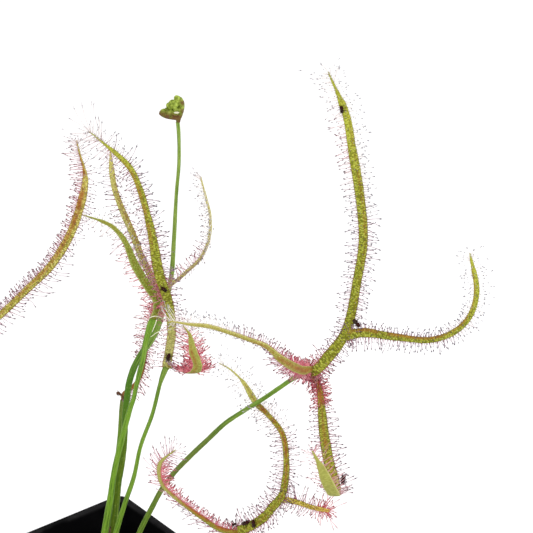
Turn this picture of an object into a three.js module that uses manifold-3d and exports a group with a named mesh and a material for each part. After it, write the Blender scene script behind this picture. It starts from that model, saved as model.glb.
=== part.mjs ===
// Forked sundew in a square nursery pot, in millimetres, +Z up.
// The origin is the middle of the pot's underside, and the pot's sides lie along X and Y.
import * as THREE from "three";
import { mergeVertices } from "three/addons/utils/BufferGeometryUtils.js";
import Module from "manifold-3d";

const wasm = await Module();
wasm.setup();

// Driving dimensions: the pot and its soil.
const POT_HEIGHT = 80;
const RIM_WIDTH = 80;
const BASE_WIDTH = 58;
const RIM_CORNER = 3.5;
const POT_WALL = 1.3;
const BAND_HEIGHT = 8;
const BAND_STEP = 1.2;
const RIM_LIP = 2.4;
const RIM_EDGE = 0.6;
const FLOOR = 1.6;
const DRAIN_RADIUS = 4;
const DRAIN_OFFSET = 18;
const SOIL_LEVEL = 70;
const SOIL_EDGE_DROP = 1.5;
const SOIL_SWELL = 0.5;
const CLEARANCE = 0.3;
const HOLE_CLEARANCE = 0.4;

// Driving dimensions: the plant. Its routes run across, back and up from the middle of the soil,
// and PLANT_TURN_DEG turns that fan of leaves about the upright axis.
const PLANT_TURN_DEG = -39;
const ROOT_DEPTH = 12;
const STEM_SIDES = 6;
const BLADE_THICKNESS = 0.9;
const LEAST_BLADE_WIDTH = 0.6;
const STEM_STEP = 11;
const STEP_LENGTH = 9;
const STEP_TURN = 0.35;
const NARROWING = 0.93;
const HAIR_SPACING = 4.25;
const HAIR_LENGTH = 2.8;
const HAIR_RADIUS = 0.14;
const DROP_RADIUS = 0.32;
const HAIR_CLEARANCE = 0.7;
const HEAD_ARM_RADIUS = 0.75;

// How near two corners left by the joining of solids may lie before they are merged, in the order
// in which these distances are tried.
const SLIVERS = [0.003, 0.005, 0.008, 0.012, 0.002];

// Each leaf stands on one stem, whose blades fork at its top. thick and width are given in pairs, at
// a share of the length from 0 to 1. A blade has its own route and the way that its sticky face
// looks, or for a blade that curls the way that its width runs, at even steps from root to tip.
// bush is how much closer its hairs stand than on a plain blade, and a knob is a bud at its end.
const LEAVES = {
  leaf_tall_right: {
    foot: [6.5, 3],
    thick: [[0, 2.2], [0.25, 1.4], [0.5, 1.35], [0.9, 1.3], [1, 1.35]],
    stem: [[9, 3, 12], [15.4, 2, 29.9], [19.9, -2, 41.8], [23.2, -4.5, 49.8], [26.7, -7, 56.4],
      [31.6, -11, 64.4], [37, -15.5, 72.7], [42.2, -20, 80.7], [47.3, -25, 87.4], [52.7, -30.5, 94.3],
      [57.4, -36, 101], [60.6, -40, 105.7], [64.5, -44, 110]],
    blades: [
      { route: [[64.5, -43, 109.5], [66.5, -45, 111], [69.8, -43, 113.8], [74.5, -41, 120.3],
        [77.4, -38, 134], [78.8, -36, 144.5], [77.7, -34, 156.5], [75.5, -32, 169], [74, -31, 177],
        [69.3, -31, 188.5]],
        width: [[0, 2.6], [0.1, 2.9], [0.2, 2.35], [0.35, 2.1], [0.7, 2.2], [0.8, 1.85], [0.89, 1.7],
          [0.925, 1], [0.945, 0.6], [1, 0.3]],
        face: [[0, -1, 0.3], [-0.2, -1, 0.1]], bush: 1 },
      { route: [[74, -41.2, 118.5], [78.2, -42, 120.6], [87.4, -44, 120.4], [96.5, -45, 120.1],
        [102.8, -45, 122.7], [106.4, -45, 127.3], [107.8, -44, 133.7], [105.8, -42, 143.5]],
        width: [[0, 2.5], [0.1, 2.35], [0.2, 1.9], [0.4, 1.5], [0.8, 1.35], [0.9, 1.2], [0.95, 0.75],
          [1, 0.3]],
        face: [[0, -1, 0.4], [-0.2, -1, 0.4]], bush: 1 },
      { route: [[65.5, -43, 110.2], [62.7, -52, 115], [57.5, -60, 122.5], [53.7, -61, 126.7],
        [49.4, -60, 128.1], [44.1, -57, 128.6], [39.3, -54.5, 128.9], [34.3, -52, 128.2],
        [29.2, -50, 128.1]],
        width: [[0, 2.8], [0.3, 2.4], [0.4, 2.15], [0.5, 1.7], [0.6, 1.5], [0.8, 1.35], [0.87, 1.1],
          [0.93, 0.65], [1, 0.25]],
        side: [[0, -0.43, -0.9], [0, 0.2, -1], [-0.3, 0.5, -0.7], [-0.2, 0.3, -0.9]], bush: 1.6 },
      { route: [[65, -43.8, 110], [67.5, -45.4, 106.5], [68.2, -48, 102], [68.8, -52, 96.5],
        [69.85, -57, 91.5], [71.4, -62, 87.5], [71.4, -67, 86.8], [69.5, -70.3, 92], [67.3, -71, 98],
        [65.3, -71, 102.2]],
        width: [[0, 1.3], [0.08, 1.2], [0.15, 1.7], [0.25, 2.3], [0.4, 2.65], [0.55, 2.6], [0.67, 2.9],
          [0.77, 3.2], [0.82, 3], [0.9, 2], [0.95, 0.9], [1, 0.3]],
        side: [[-1, 0, 0], [-1, 0, 0]], bush: 1.4 },
    ],
  },
  leaf_middle: {
    foot: [2.5, -1],
    thick: [[0, 2], [0.35, 1.3], [0.5, 1.1], [0.65, 0.9], [0.93, 0.85], [1, 1.3]],
    stem: [[4.2, -0.6, 14], [8.5, 0, 31], [11.6, -2, 42.4], [14.8, -4, 53], [17.4, -7, 65.6],
      [21.3, -10, 78], [24.2, -13, 90.5], [25.8, -14, 95.4]],
    blades: [
      { route: [[25.6, -13.9, 94.6], [27.1, -15, 102.8], [27.7, -16, 108], [27.1, -16, 115.7],
        [24.6, -16, 125.4], [22.7, -15, 137.8], [19.9, -13, 148.9], [17.6, -12.4, 154.5],
        [14.4, -11.5, 157.9], [11.7, -10.8, 160.1], [6.5, -10, 164.4]],
        width: [[0, 2.5], [0.1, 2.45], [0.45, 2.45], [0.55, 2.25], [0.65, 2], [0.83, 1.7], [0.88, 1.4],
          [0.92, 0.9], [0.96, 0.5], [1, 0.25]],
        face: [[0, -1, 0.2], [0, -1, 0.3]], bush: 1 },
      { route: [[26, -13, 94.8], [28.6, -18, 97.4], [30.9, -24, 99.8], [33.1, -30, 102.4],
        [34.9, -35, 105.6], [35.5, -36.5, 108.1], [35.1, -37, 110.2], [34.5, -37, 111.9],
        [34.2, -37, 113.6], [33.9, -36.8, 115.5], [33.5, -36.5, 117.3], [31.8, -36, 119.6]],
        width: [[0, 2], [0.25, 2], [0.4, 2.5], [0.5, 3.1], [0.62, 3], [0.7, 2.55], [0.8, 2.35],
          [0.87, 1.7], [0.92, 1], [0.96, 0.45], [1, 0.25]],
        side: [[-0.3, -0.5, 0.8], [-0.9, -0.4, 0.2], [-1, 0, 0], [-1, 0, 0]], bush: 2 },
    ],
  },
  leaf_back_left: {
    foot: [0, 3],
    thick: [[0, 2.1], [0.34, 1.95], [0.5, 1.55], [0.68, 1.42], [0.76, 1.15], [0.87, 1.33], [0.95, 1.6],
      [1, 2]],
    stem: [[1.8, 3, 12], [5.4, 3, 32.1], [7.3, 3, 43.1], [8, 3, 47.9], [9.3, 2.5, 54.5], [11.5, 1.5, 63.6],
      [14, 0.5, 73.3], [15.4, 0, 77.8], [16.3, -0.5, 82.2], [17.3, -1, 86.5], [18.5, -2, 91.4],
      [19.3, -3, 96.2], [20.6, -3.6, 101.6], [21.9, -4, 105.6]],
    blades: [
      { route: [[21.8, -4.1, 104.9], [23.2, -4, 108.2], [23.1, -4, 111], [20.4, -3.5, 115.6],
        [17.1, -3, 121.8], [14.5, -2.3, 128.6], [11.3, -2, 132.8], [8, -2, 134.7], [3, -2, 136.5]],
        width: [[0, 1.9], [0.06, 2.6], [0.13, 2.8], [0.2, 2.3], [0.45, 2.35], [0.55, 1.9], [0.65, 1.5],
          [0.75, 1.15], [0.86, 0.9], [0.9, 0.5], [1, 0.25]],
        face: [[-0.5, 0.85, -0.35], [-0.5, 0.85, -0.35]], bush: 1 },
      { route: [[23, -4, 107.1], [23.9, -3.6, 109.1], [23.4, -2, 112.2], [21.6, 1.5, 115.2],
        [18.8, 4, 120.2], [16.1, 6, 127.1], [12.9, 7, 135.3], [11.4, 7, 140.7], [10.8, 7, 146.2],
        [10.6, 7, 151.7]],
        width: [[0, 1.9], [0.2, 1.9], [0.45, 1.7], [0.6, 1.65], [0.72, 1.45], [0.88, 1.4], [0.93, 1.1],
          [0.97, 0.6], [1, 0.3]],
        face: [[-0.5, -0.9, 0.1], [-0.5, -0.9, 0.1]], bush: 1 },
      { route: [[23.4, -4.1, 107.7], [24.5, -4.3, 110], [26.5, -4.2, 115.3], [29.9, -4, 118.4],
        [32, -4, 120.5], [35.2, -4, 123.8], [37.3, -4.5, 128.2], [38.3, -5, 133], [38.3, -5, 137.8],
        [37.4, -5, 142.3], [35.9, -5, 149.1]],
        width: [[0, 1.4], [0.3, 1], [0.6, 0.9], [0.85, 0.7], [1, 0.3]],
        side: [[0.3, -0.9, 0.1], [0.4, -0.9, 0]], bush: 1 },
    ],
  },
  leaf_young_back: {
    foot: [-1.5, 9],
    thick: [[0, 1.7], [0.5, 1.2], [1, 1]],
    stem: [[1, 9.3, 10], [5.4, 9.6, 24.9], [7.3, 10, 40.1], [8.6, 10.5, 49.6], [9.7, 11.2, 57.9],
      [10.1, 12, 62.5], [10.4, 12.6, 66.4], [10.8, 13, 69.6]],
    blades: [
      { route: [[10.8, 13, 69.3], [10.9, 12.7, 71], [10.5, 12.3, 71.9], [9.8, 12, 72.4]],
        width: [[0, 1], [0.7, 0.8], [1, 1]],
        face: [[0, -0.4, 1], [1, 0, 0.2]], bush: 0, knob: 0.62 },
      { route: [[10.8, 13.2, 69.8], [11.3, 14.5, 71.1], [12.6, 15.5, 71.5], [13.9, 16.5, 72.2],
        [15, 17, 73.3], [15.8, 17.3, 74.7], [16.5, 17.5, 76.5], [17, 17.7, 78.6], [17.3, 17.8, 80.5],
        [17.9, 18, 83.8], [18.9, 18, 88.1], [19.9, 18, 93.1], [20.6, 18, 97.7]],
        width: [[0, 1], [0.2, 1.3], [0.35, 1.5], [0.7, 1.5], [0.9, 1.1], [1, 0.4]],
        face: [[-0.3, -1, 0], [-0.3, -1, 0]], bush: 1.2 },
    ],
  },
  leaf_far_left: {
    foot: [-5, -1],
    thick: [[0, 2.3], [0.5, 1.7], [1, 1.5]],
    stem: [[-9, -3, 12], [-16, -9, 26], [-26, -18, 43], [-33, -27, 68], [-36, -38, 92], [-35, -47, 110]],
    blades: [
      { route: [[-35.5, -46, 108.5], [-27, -46, 116], [-15.2, -37, 124], [-9.2, -31, 128],
        [-3.6, -25, 131.8], [1.2, -21, 138.5], [4.1, -18, 145.6], [5.7, -15.8, 152.8], [5.3, -15, 156.2],
        [4.6, -14.4, 158.5], [3.6, -13.8, 163.2]],
        width: [[0, 2.3], [0.4, 1.9], [0.65, 2.1], [0.8, 1.95], [0.86, 1.5], [0.89, 0.95], [0.91, 0.6],
          [0.95, 0.4], [1, 0.2]],
        face: [[-0.3, -0.8, 0.5], [-0.4, -0.9, 0.2]], bush: 1 },
      { route: [[-35.5, -46, 108.7], [-40, -51, 119], [-45, -53, 132], [-48, -51, 147], [-47.5, -46, 161],
        [-43, -41, 170]],
        width: [[0, 2.3], [0.5, 2.1], [0.8, 1.6], [0.92, 0.9], [1, 0.4]],
        face: [[0.5, -0.8, 0.2], [0.4, -0.9, 0]], bush: 1 },
    ],
  },
  leaf_low_front: {
    foot: [3.5, -6.5],
    thick: [[0, 2.2], [0.5, 1.6], [1, 1.5]],
    stem: [[6, -9.5, 12], [11, -15.5, 26], [20, -24, 38], [30, -32, 46], [38.5, -37.5, 51],
      [45.2, -40, 57.5]],
    blades: [
      { route: [[45.7, -40, 57.3], [43.2, -41, 58.6], [40.2, -42, 60.5], [37.2, -42.7, 63.4],
        [34.2, -43, 66.1], [31.2, -43, 68.8], [28.2, -42.5, 71.4], [26.1, -42, 73.5], [25, -42, 76.1],
        [24.8, -42, 79.2], [25.3, -42.2, 81.3], [26.4, -42.5, 82.9], [29.4, -43, 85.8]],
        width: [[0, 1.9], [0.25, 1.5], [0.5, 1.3], [0.62, 1.25], [0.72, 1.1], [0.82, 1.2], [0.88, 0.85],
          [0.92, 0.45], [1, 0.25]],
        side: [[0, 0.2, -1], [-0.2, 0.3, -0.9], [-0.9, 0.35, 0.1], [-0.9, 0.3, 0.4]], bush: 1.2 },
      { route: [[44.5, -39.8, 57.2], [49, -41, 60.1], [53.1, -42, 63.8], [55.3, -43, 67.5],
        [57.9, -43, 71.2], [59, -42, 76.4], [59.2, -41, 81.1], [58.2, -37, 87], [54.1, -31, 89.9],
        [51.1, -27, 91], [49.2, -24, 92.8], [47.8, -22.5, 94.6], [46.2, -21, 95.9], [43.7, -20, 97.9],
        [40.7, -19, 99.3]],
        width: [[0, 2.6], [0.25, 2.4], [0.33, 2], [0.5, 1.75], [0.68, 1.5], [0.74, 1.7], [0.8, 1.75],
          [0.86, 1.2], [0.9, 0.5], [1, 0.25]],
        face: [[-0.3, -0.9, 0.5], [-0.3, -0.6, 0.7]], bush: 1 },
      { route: [[57.4, -42.9, 70], [62.6, -45, 70.4], [65.5, -46, 69.8], [70.9, -47, 69]],
        width: [[0, 1.8], [0.4, 1.35], [0.85, 1.2], [1, 0.9]],
        face: [[0, -0.8, 0.6], [0, -0.8, 0.6]], bush: 1 },
    ],
  },
};

const FLOWER_STALK = {
  foot: [3.8, 8],
  thick: [[0, 2.5], [0.2, 2.3], [0.3, 2], [0.42, 1.7], [0.5, 1.75], [0.61, 1.75], [0.66, 1.5], [0.72, 1.1],
    [0.8, 0.95], [0.88, 0.78], [1, 0.85]],
  stem: [[5.2, 7.7, 12], [7, 7.6, 26.2], [7.9, 7.3, 34], [9.3, 7, 45.5], [10.5, 7, 51.8], [11.6, 7, 60.4],
    [12.2, 7.2, 69.5], [12.8, 7.4, 73.6], [13.5, 7.7, 78.3], [15.3, 8, 83.8], [17.6, 8.2, 88.1],
    [20.1, 8.3, 91.9], [21.8, 8.3, 95.2], [22.8, 8.5, 98], [23.9, 8.6, 101.8], [26.4, 9, 111.2],
    [27.6, 8, 124], [28.7, 6, 139.3], [29.6, 6, 148.7], [29.7, 6, 157.6], [29.5, 6, 160.8]],
  // The arms of the coiled head and its buds, [across, back, up, radius], start at the stalk's top.
  arms: [
    [[0, 0, -0.4], [-1.5, -0.3, 0.6], [-3.2, -0.6, 1.5], [-4.2, -0.8, 2.4]],
    [[0, 0, -0.4], [0.5, 0.2, 1.2], [0.95, 0.3, 3.2], [0.9, 0.1, 4.9], [0.3, 0, 6]],
  ],
  buds: [[-4.2, -0.8, 2.7, 1.05], [-2.7, -0.8, 2, 1], [-2.1, -0.3, 4.1, 1.2], [-1.7, -0.6, 5, 0.95],
    [0.05, -0.1, 6.1, 1.15], [-0.5, -0.7, 4.8, 0.85], [-0.6, -0.8, 3.4, 0.95], [0.75, -0.2, 4.6, 0.85],
    [0.6, -0.2, 2.7, 0.95], [-0.9, -0.2, 1.9, 1.1], [-1.2, 0.9, 3.2, 1.2], [0.2, 1.1, 4.2, 1.05],
    [-2.9, 0.4, 2.4, 1]],
};

const OLD_STUB = {
  foot: [2.2, 5.4],
  thick: [[0, 1.4], [1, 1.1]],
  stem: [[3.9, 5, 12], [5.6, 4.9, 26], [6.2, 4.9, 30]],
};

const COLOURS = {
  pot: { color: 0x16181a, roughness: 0.45 },
  soil: { color: 0x4a3d33, roughness: 0.95 },
  leaf: { color: 0x9a9f32, roughness: 0.5 },
  stalk: { color: 0x7c9c3f, roughness: 0.5 },
  old: { color: 0x5b4430, roughness: 0.8 },
};

// A repeatable stream of numbers from 0 to 1.
function seeded(seed) {
  let state = seed;
  return () => {
    state = (state * 1664525 + 1013904223) % 4294967296;
    return state / 4294967296;
  };
}

const vector = ([across, back, up]) => new THREE.Vector3(across, back, up);

const smoothRoute = (points) => new THREE.CatmullRomCurve3(points.map(vector), false, "centripetal");

// The value at t from pairs of a share of the length and a value there.
function valueAt(pairs, t) {
  const next = pairs.findIndex(([share]) => t <= share);
  const i = Math.max(1, next < 0 ? pairs.length - 1 : next);
  const [[fromShare, from], [toShare, to]] = [pairs[i - 1], pairs[i]];
  return from + (to - from) * THREE.MathUtils.smoothstep(t, fromShare, toShare);
}

const widest = (pairs) => Math.max(...pairs.map(([, value]) => value));

// The direction at t from directions given at even steps.
function directionAt(directions, t) {
  const spot = t * (directions.length - 1);
  const i = Math.min(directions.length - 2, Math.floor(spot));
  return vector(directions[i]).lerp(vector(directions[i + 1]), spot - i);
}

// A solid from a closed geometry whose faces point out.
function solidOf(geometry) {
  const plain = geometry.clone();
  plain.deleteAttribute("normal");
  plain.deleteAttribute("uv");
  const merged = mergeVertices(plain, 1e-5);
  return new wasm.Manifold(new wasm.Mesh({
    numProp: 3,
    vertProperties: new Float32Array(merged.attributes.position.array),
    triVerts: new Uint32Array(merged.index.array),
  }));
}

// The faces left when corners that were merged are dropped: a face that fell flat goes, and so do
// two faces that now lie back to back on the same corners.
function cleanFaces(geometry) {
  const kept = new Map();
  for (let i = 0; i < geometry.index.count; i += 3) {
    const face = [0, 1, 2].map((corner) => geometry.index.getX(i + corner));
    const key = [...face].sort((a, b) => a - b).join();
    if (new Set(face).size < 3) continue;
    if (kept.has(key)) kept.delete(key);
    else kept.set(key, face);
  }
  return [...kept.values()].flat();
}

// Whether each edge runs once each way.
function isClosed({ index }) {
  const edges = new Set();
  for (let i = 0; i < index.count; i += 1) {
    const next = i % 3 === 2 ? i - 2 : i + 1;
    edges.add(`${index.getX(i)} ${index.getX(next)}`);
  }
  const turned = (edge) => edge.split(" ").reverse().join(" ");
  return edges.size === index.count && [...edges].every((edge) => edges.has(turned(edge)));
}

// The geometry of the largest body of a solid: scraps are dropped, sealed hollows are filled, and
// slivers left by the joining are merged away, by the first tolerance that leaves the skin closed.
function geometryOf(solid) {
  const bodies = solid.simplify(SLIVERS[0]).decompose().sort((a, b) => b.volume() - a.volume());
  const mesh = bodies[0].getMesh();
  const joined = new THREE.BufferGeometry();
  joined.setAttribute("position", new THREE.BufferAttribute(mesh.vertProperties, 3));
  joined.setIndex(new THREE.BufferAttribute(mesh.triVerts, 1));
  for (const tolerance of SLIVERS) {
    const geometry = mergeVertices(joined, tolerance);
    geometry.setIndex(cleanFaces(geometry));
    geometry.computeVertexNormals();
    if (isClosed(geometry)) return geometry;
  }
  throw new Error("a joined solid has a skin that isn't closed");
}

// A closed skin over a row of rings with the same number of points each.
// It ends in a point where one is given, and in a flat fan where not.
function skin(rings, startPoint, endPoint) {
  const count = rings[0].length;
  const points = rings.flat();
  const faces = [];
  for (let r = 0; r + 1 < rings.length; r += 1) {
    for (let i = 0; i < count; i += 1) {
      const a = r * count + i;
      const b = r * count + ((i + 1) % count);
      faces.push([a, b, b + count], [a, b + count, a + count]);
    }
  }
  const close = (first, tip, flip) => {
    const tipIndex = tip ? points.push(tip) - 1 : first;
    const from = tip ? 0 : 1;
    const to = tip ? count : count - 1;
    for (let i = from; i < to; i += 1) {
      const face = [tipIndex, first + ((i + 1) % count), first + i];
      faces.push(flip ? face.reverse() : face);
    }
  };
  close(0, startPoint, false);
  close((rings.length - 1) * count, endPoint, true);
  const geometry = new THREE.BufferGeometry();
  geometry.setAttribute("position", new THREE.Float32BufferAttribute(points.flatMap((p) => p.toArray()), 3));
  geometry.setIndex(faces.flat());
  if (signedVolume(geometry) < 0) geometry.setIndex(faces.map((face) => face.reverse()).flat());
  return geometry;
}

function signedVolume(geometry) {
  const { position } = geometry.attributes;
  const corner = (i) => new THREE.Vector3().fromBufferAttribute(position, geometry.index.getX(i));
  let volume = 0;
  for (let i = 0; i < geometry.index.count; i += 3) {
    volume += corner(i).dot(corner(i + 1).cross(corner(i + 2))) / 6;
  }
  return volume;
}

// A ring of points round a centre, in the plane of two directions.
function ringAround(centre, sideways, upwards, radius, sides) {
  return Array.from({ length: sides }, (_, i) => {
    const angle = (i / sides) * 2 * Math.PI;
    return centre.clone()
      .addScaledVector(sideways, radius * Math.cos(angle))
      .addScaledVector(upwards, radius * Math.sin(angle));
  });
}

// A tapering round stem through a list of centres.
function stemSolid(centres, radii, sides = STEM_SIDES) {
  let sideways = new THREE.Vector3(1, 0, 0);
  const rings = centres.map((centre, i) => {
    const before = centres[Math.max(0, i - 1)];
    const after = centres[Math.min(centres.length - 1, i + 1)];
    const along = after.clone().sub(before).normalize();
    sideways = sideways.clone().addScaledVector(along, -sideways.dot(along)).normalize();
    return ringAround(centre, sideways, along.clone().cross(sideways), radii[i], sides);
  });
  return solidOf(skin(rings));
}

// The centres of a rooted stem: straight down in its hole, then along its route.
function rootedCentres({ foot, stem }) {
  const [across, back] = foot;
  const route = smoothRoute([[across, back, 1], ...stem]);
  const above = route.getSpacedPoints(Math.round(route.getLength() / STEM_STEP));
  return [vector([across, back, -ROOT_DEPTH]), ...above];
}

function rootedStem(plan) {
  const centres = rootedCentres(plan);
  const radii = centres.map((_, i) => valueAt(plan.thick, Math.max(0, i - 1) / (centres.length - 2)) / 2);
  return stemSolid(centres, radii);
}

// A place on a blade's route at the share t of its length: its centre, direction, width direction,
// sticky face and width.
function bladeStation(blade, curve, t) {
  const along = curve.getTangentAt(t);
  const across = blade.side
    ? directionAt(blade.side, t)
    : along.clone().cross(directionAt(blade.face, t));
  across.addScaledVector(along, -across.dot(along)).normalize();
  const face = across.clone().cross(along);
  const width = Math.max(LEAST_BLADE_WIDTH, valueAt(blade.width, t));
  return { t, centre: curve.getPointAt(t), along, across, face, width };
}

// The places where a blade bends, evenly spread, and more of them on a blade that curls, with one
// more where it has narrowed to its tip.
function bladeStations(blade, curve) {
  const samples = 40;
  let turned = 0;
  for (let i = 0; i < samples; i += 1) {
    turned += curve.getTangentAt(i / samples).angleTo(curve.getTangentAt((i + 1) / samples));
  }
  const steps = Math.max(5, Math.round(curve.getLength() / STEP_LENGTH), Math.round(turned / STEP_TURN));
  const shares = Array.from({ length: steps + 1 }, (_, i) => i / steps);
  return [...shares.slice(0, -1), NARROWING, 1].map((t) => bladeStation(blade, curve, t));
}

// A place between two stations, so that what grows there stands on the strip itself.
function placeOn(stations, t) {
  const next = stations.findIndex((station) => t <= station.t);
  const i = Math.max(1, next < 0 ? stations.length - 1 : next);
  const [a, b] = [stations[i - 1], stations[i]];
  const share = THREE.MathUtils.clamp((t - a.t) / (b.t - a.t), 0, 1);
  const mixed = (key) => a[key].clone().lerp(b[key], share);
  return {
    centre: mixed("centre"),
    along: mixed("along").normalize(),
    across: mixed("across").normalize(),
    face: mixed("face").normalize(),
    width: THREE.MathUtils.lerp(a.width, b.width, share),
  };
}

// A blade is a flat six-sided strip that narrows to its tip.
function bladeSolid(stations) {
  const rings = stations.map(({ centre, across, face, width }) => {
    const half = width / 2;
    const thick = Math.min(BLADE_THICKNESS, width) / 2;
    const corners = [[-1, 0], [-0.5, thick], [0.5, thick], [1, 0], [0.5, -thick], [-0.5, -thick]];
    return corners.map(([share, rise]) => centre.clone()
      .addScaledVector(across, share * half)
      .addScaledVector(face, rise));
  });
  return solidOf(skin(rings));
}

// A three-sided hair that thickens into its drop of glue.
function hairSolid({ root, tip }) {
  const along = tip.clone().sub(root);
  const length = along.length();
  along.normalize();
  const sideways = new THREE.Vector3(along.y, along.z, along.x).cross(along).normalize();
  const upwards = along.clone().cross(sideways);
  const at = (distance) => root.clone().addScaledVector(along, distance);
  const ring = (distance, radius) => ringAround(at(distance), sideways, upwards, radius, 3);
  const rings = [ring(0, HAIR_RADIUS), ring(length - 1.5 * DROP_RADIUS, DROP_RADIUS)];
  return solidOf(skin(rings, undefined, tip));
}

// One hair of a blade. share is where it stands across the blade, from -1 to 1 with 0 in the middle,
// lean is how far it leans to the blade's tip, and reach is how far it stands out from the margin.
function hairOn(stations, t, { share, lean, reach }, draw) {
  const { centre, along, across, face, width } = placeOn(stations, t);
  const rise = share === 0 ? 1.35 : 0.35;
  const way = across.clone().multiplyScalar(share)
    .addScaledVector(face, rise + 0.4 * draw())
    .addScaledVector(along, lean + 0.5 * (draw() - 0.5))
    .normalize();
  const root = centre.clone().addScaledVector(across, share * width / 4);
  const length = 0.4 * width * Math.abs(share) + reach * (0.8 + 0.4 * draw());
  return { root, tip: root.clone().addScaledVector(way, length) };
}

// The hairs of a blade: along both margins, on the face of a bushy one, and a long fan at the tip.
function bladeHairs(blade, stations, length, draw) {
  const hairs = [];
  if (blade.knob) return hairs;
  const count = Math.floor(length * blade.bush / HAIR_SPACING);
  for (let i = 0; i < count; i += 1) {
    const t = (i + 0.6) / (count + 0.4);
    const reach = HAIR_LENGTH * (1 + 0.8 * Math.pow(t, 6));
    hairs.push(hairOn(stations, t, { share: 1, lean: 0.1, reach }, draw));
    hairs.push(hairOn(stations, t + 0.4 / count, { share: -1, lean: 0.1, reach }, draw));
    if (blade.bush > 1 && i % 2 === 0) {
      hairs.push(hairOn(stations, t, { share: 0, lean: 0.2, reach: 0.8 * reach }, draw));
    }
  }
  const nearTip = 1 - 6 * HAIR_RADIUS / length;
  for (const share of [-0.6, 0, 0.6]) {
    hairs.push(hairOn(stations, nearTip, { share, lean: 1.4, reach: 1.7 * HAIR_LENGTH }, draw));
  }
  return hairs;
}

// How near two straight stretches come to each other, from points along both.
function nearest(a, b) {
  const steps = 6;
  const line = new THREE.Line3(b.root, b.tip);
  const spot = new THREE.Vector3();
  const found = new THREE.Vector3();
  let least = Infinity;
  for (let i = 0; i <= steps; i += 1) {
    spot.lerpVectors(a.root, a.tip, i / steps);
    line.closestPointToPoint(spot, true, found);
    least = Math.min(least, found.distanceTo(spot) - b.reach);
  }
  return least;
}

// The straight stretches that stand for a stem or a blade when its neighbours' hairs are placed.
function stretches(points, reach) {
  return points.slice(1).map((tip, i) => ({ root: points[i], tip, reach }));
}

function leafPlan(leaf) {
  const blades = leaf.blades.map((blade) => {
    const curve = smoothRoute(blade.route);
    return { blade, length: curve.getLength(), stations: bladeStations(blade, curve) };
  });
  const taken = stretches(rootedCentres(leaf), widest(leaf.thick) / 2);
  for (const { blade, stations } of blades) {
    taken.push(...stretches(stations.map(({ centre }) => centre), widest(blade.width) / 2));
  }
  return { leaf, blades, taken };
}

// All leaves: first what every stem and blade takes up, then the hairs that keep clear of other leaves.
function leafSolids() {
  const names = Object.keys(LEAVES);
  const plans = names.map((name) => leafPlan(LEAVES[name]));
  const stalkTaken = stretches(rootedCentres(FLOWER_STALK), widest(FLOWER_STALK.thick) / 2);
  const draw = seeded(7);
  return names.map((name, own) => {
    const { leaf, blades, taken } = plans[own];
    const others = plans.filter((_, i) => i !== own).flatMap((plan) => plan.taken).concat(stalkTaken);
    const hairs = blades.flatMap(({ blade, stations, length }) => bladeHairs(blade, stations, length, draw))
      .filter((hair) => others.every((other) => nearest(hair, other) > HAIR_CLEARANCE));
    taken.push(...hairs.map((hair) => ({ ...hair, reach: DROP_RADIUS })));
    const knobs = blades.filter(({ blade }) => blade.knob);
    const pieces = [
      rootedStem(leaf),
      ...blades.map(({ stations }) => bladeSolid(stations)),
      ...knobs.map(({ blade, stations }) => budSolid(stations.at(-1).centre, blade.knob)),
      ...hairs.map(hairSolid),
    ];
    return { name, solid: wasm.Manifold.union(pieces) };
  });
}

// A small round bud.
function budSolid(centre, radius) {
  const bud = new THREE.SphereGeometry(radius, 6, 4);
  bud.rotateX(Math.PI / 2);
  bud.translate(centre.x, centre.y, centre.z);
  return solidOf(bud);
}

function flowerStalkSolid() {
  const { arms, buds, stem } = FLOWER_STALK;
  const top = vector(stem.at(-1));
  const armSolids = arms.map((points) => {
    const centres = smoothRoute(points).getSpacedPoints(4).map((p) => p.add(top));
    return stemSolid(centres, centres.map(() => HEAD_ARM_RADIUS));
  });
  const budSolids = buds.map(([across, back, up, radius]) => (
    budSolid(vector([across, back, up]).add(top), radius)
  ));
  return wasm.Manifold.union([rootedStem(FLOWER_STALK), ...armSolids, ...budSolids]);
}

// A square outline with round corners, as a ring of points at one height.
function squareRing(half, corner, height) {
  const arcSteps = 4;
  const ring = [];
  for (let quarter = 0; quarter < 4; quarter += 1) {
    for (let i = 0; i <= arcSteps; i += 1) {
      const angle = (quarter + i / arcSteps) * (Math.PI / 2);
      const cornerAngle = (quarter + 0.5) * (Math.PI / 2);
      const reach = (half - corner) * Math.SQRT2;
      ring.push(new THREE.Vector3(
        reach * Math.cos(cornerAngle) + corner * Math.cos(angle),
        reach * Math.sin(cornerAngle) + corner * Math.sin(angle),
        height,
      ));
    }
  }
  return ring;
}

const outerHalf = (z) => THREE.MathUtils.lerp(BASE_WIDTH / 2, RIM_WIDTH / 2 - BAND_STEP, z / POT_HEIGHT);
const innerHalf = (z) => outerHalf(z) - POT_WALL;
const cornerAt = (half) => RIM_CORNER * (half / (RIM_WIDTH / 2));

// The pot: a tapered square cup with a rim band and four drain holes.
function potSolid() {
  const bandFoot = POT_HEIGHT - BAND_HEIGHT;
  const rimHalf = RIM_WIDTH / 2;
  const rings = [
    [outerHalf(0), 0],
    [outerHalf(bandFoot), bandFoot],
    [rimHalf, bandFoot + RIM_EDGE],
    [rimHalf, POT_HEIGHT - RIM_EDGE],
    [rimHalf - RIM_EDGE, POT_HEIGHT],
    [rimHalf - RIM_LIP, POT_HEIGHT],
    [innerHalf(bandFoot), bandFoot],
    [innerHalf(FLOOR), FLOOR],
  ].map(([half, z]) => squareRing(half, cornerAt(half), z));
  let solid = solidOf(skin(rings));
  for (const [x, y] of [[1, 1], [-1, 1], [-1, -1], [1, -1]]) {
    const drain = new THREE.CylinderGeometry(DRAIN_RADIUS, DRAIN_RADIUS, FLOOR * 4, 12);
    drain.rotateX(Math.PI / 2);
    drain.translate(x * DRAIN_OFFSET, y * DRAIN_OFFSET, 0);
    solid = solid.subtract(solidOf(drain));
  }
  return solid;
}

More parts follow.
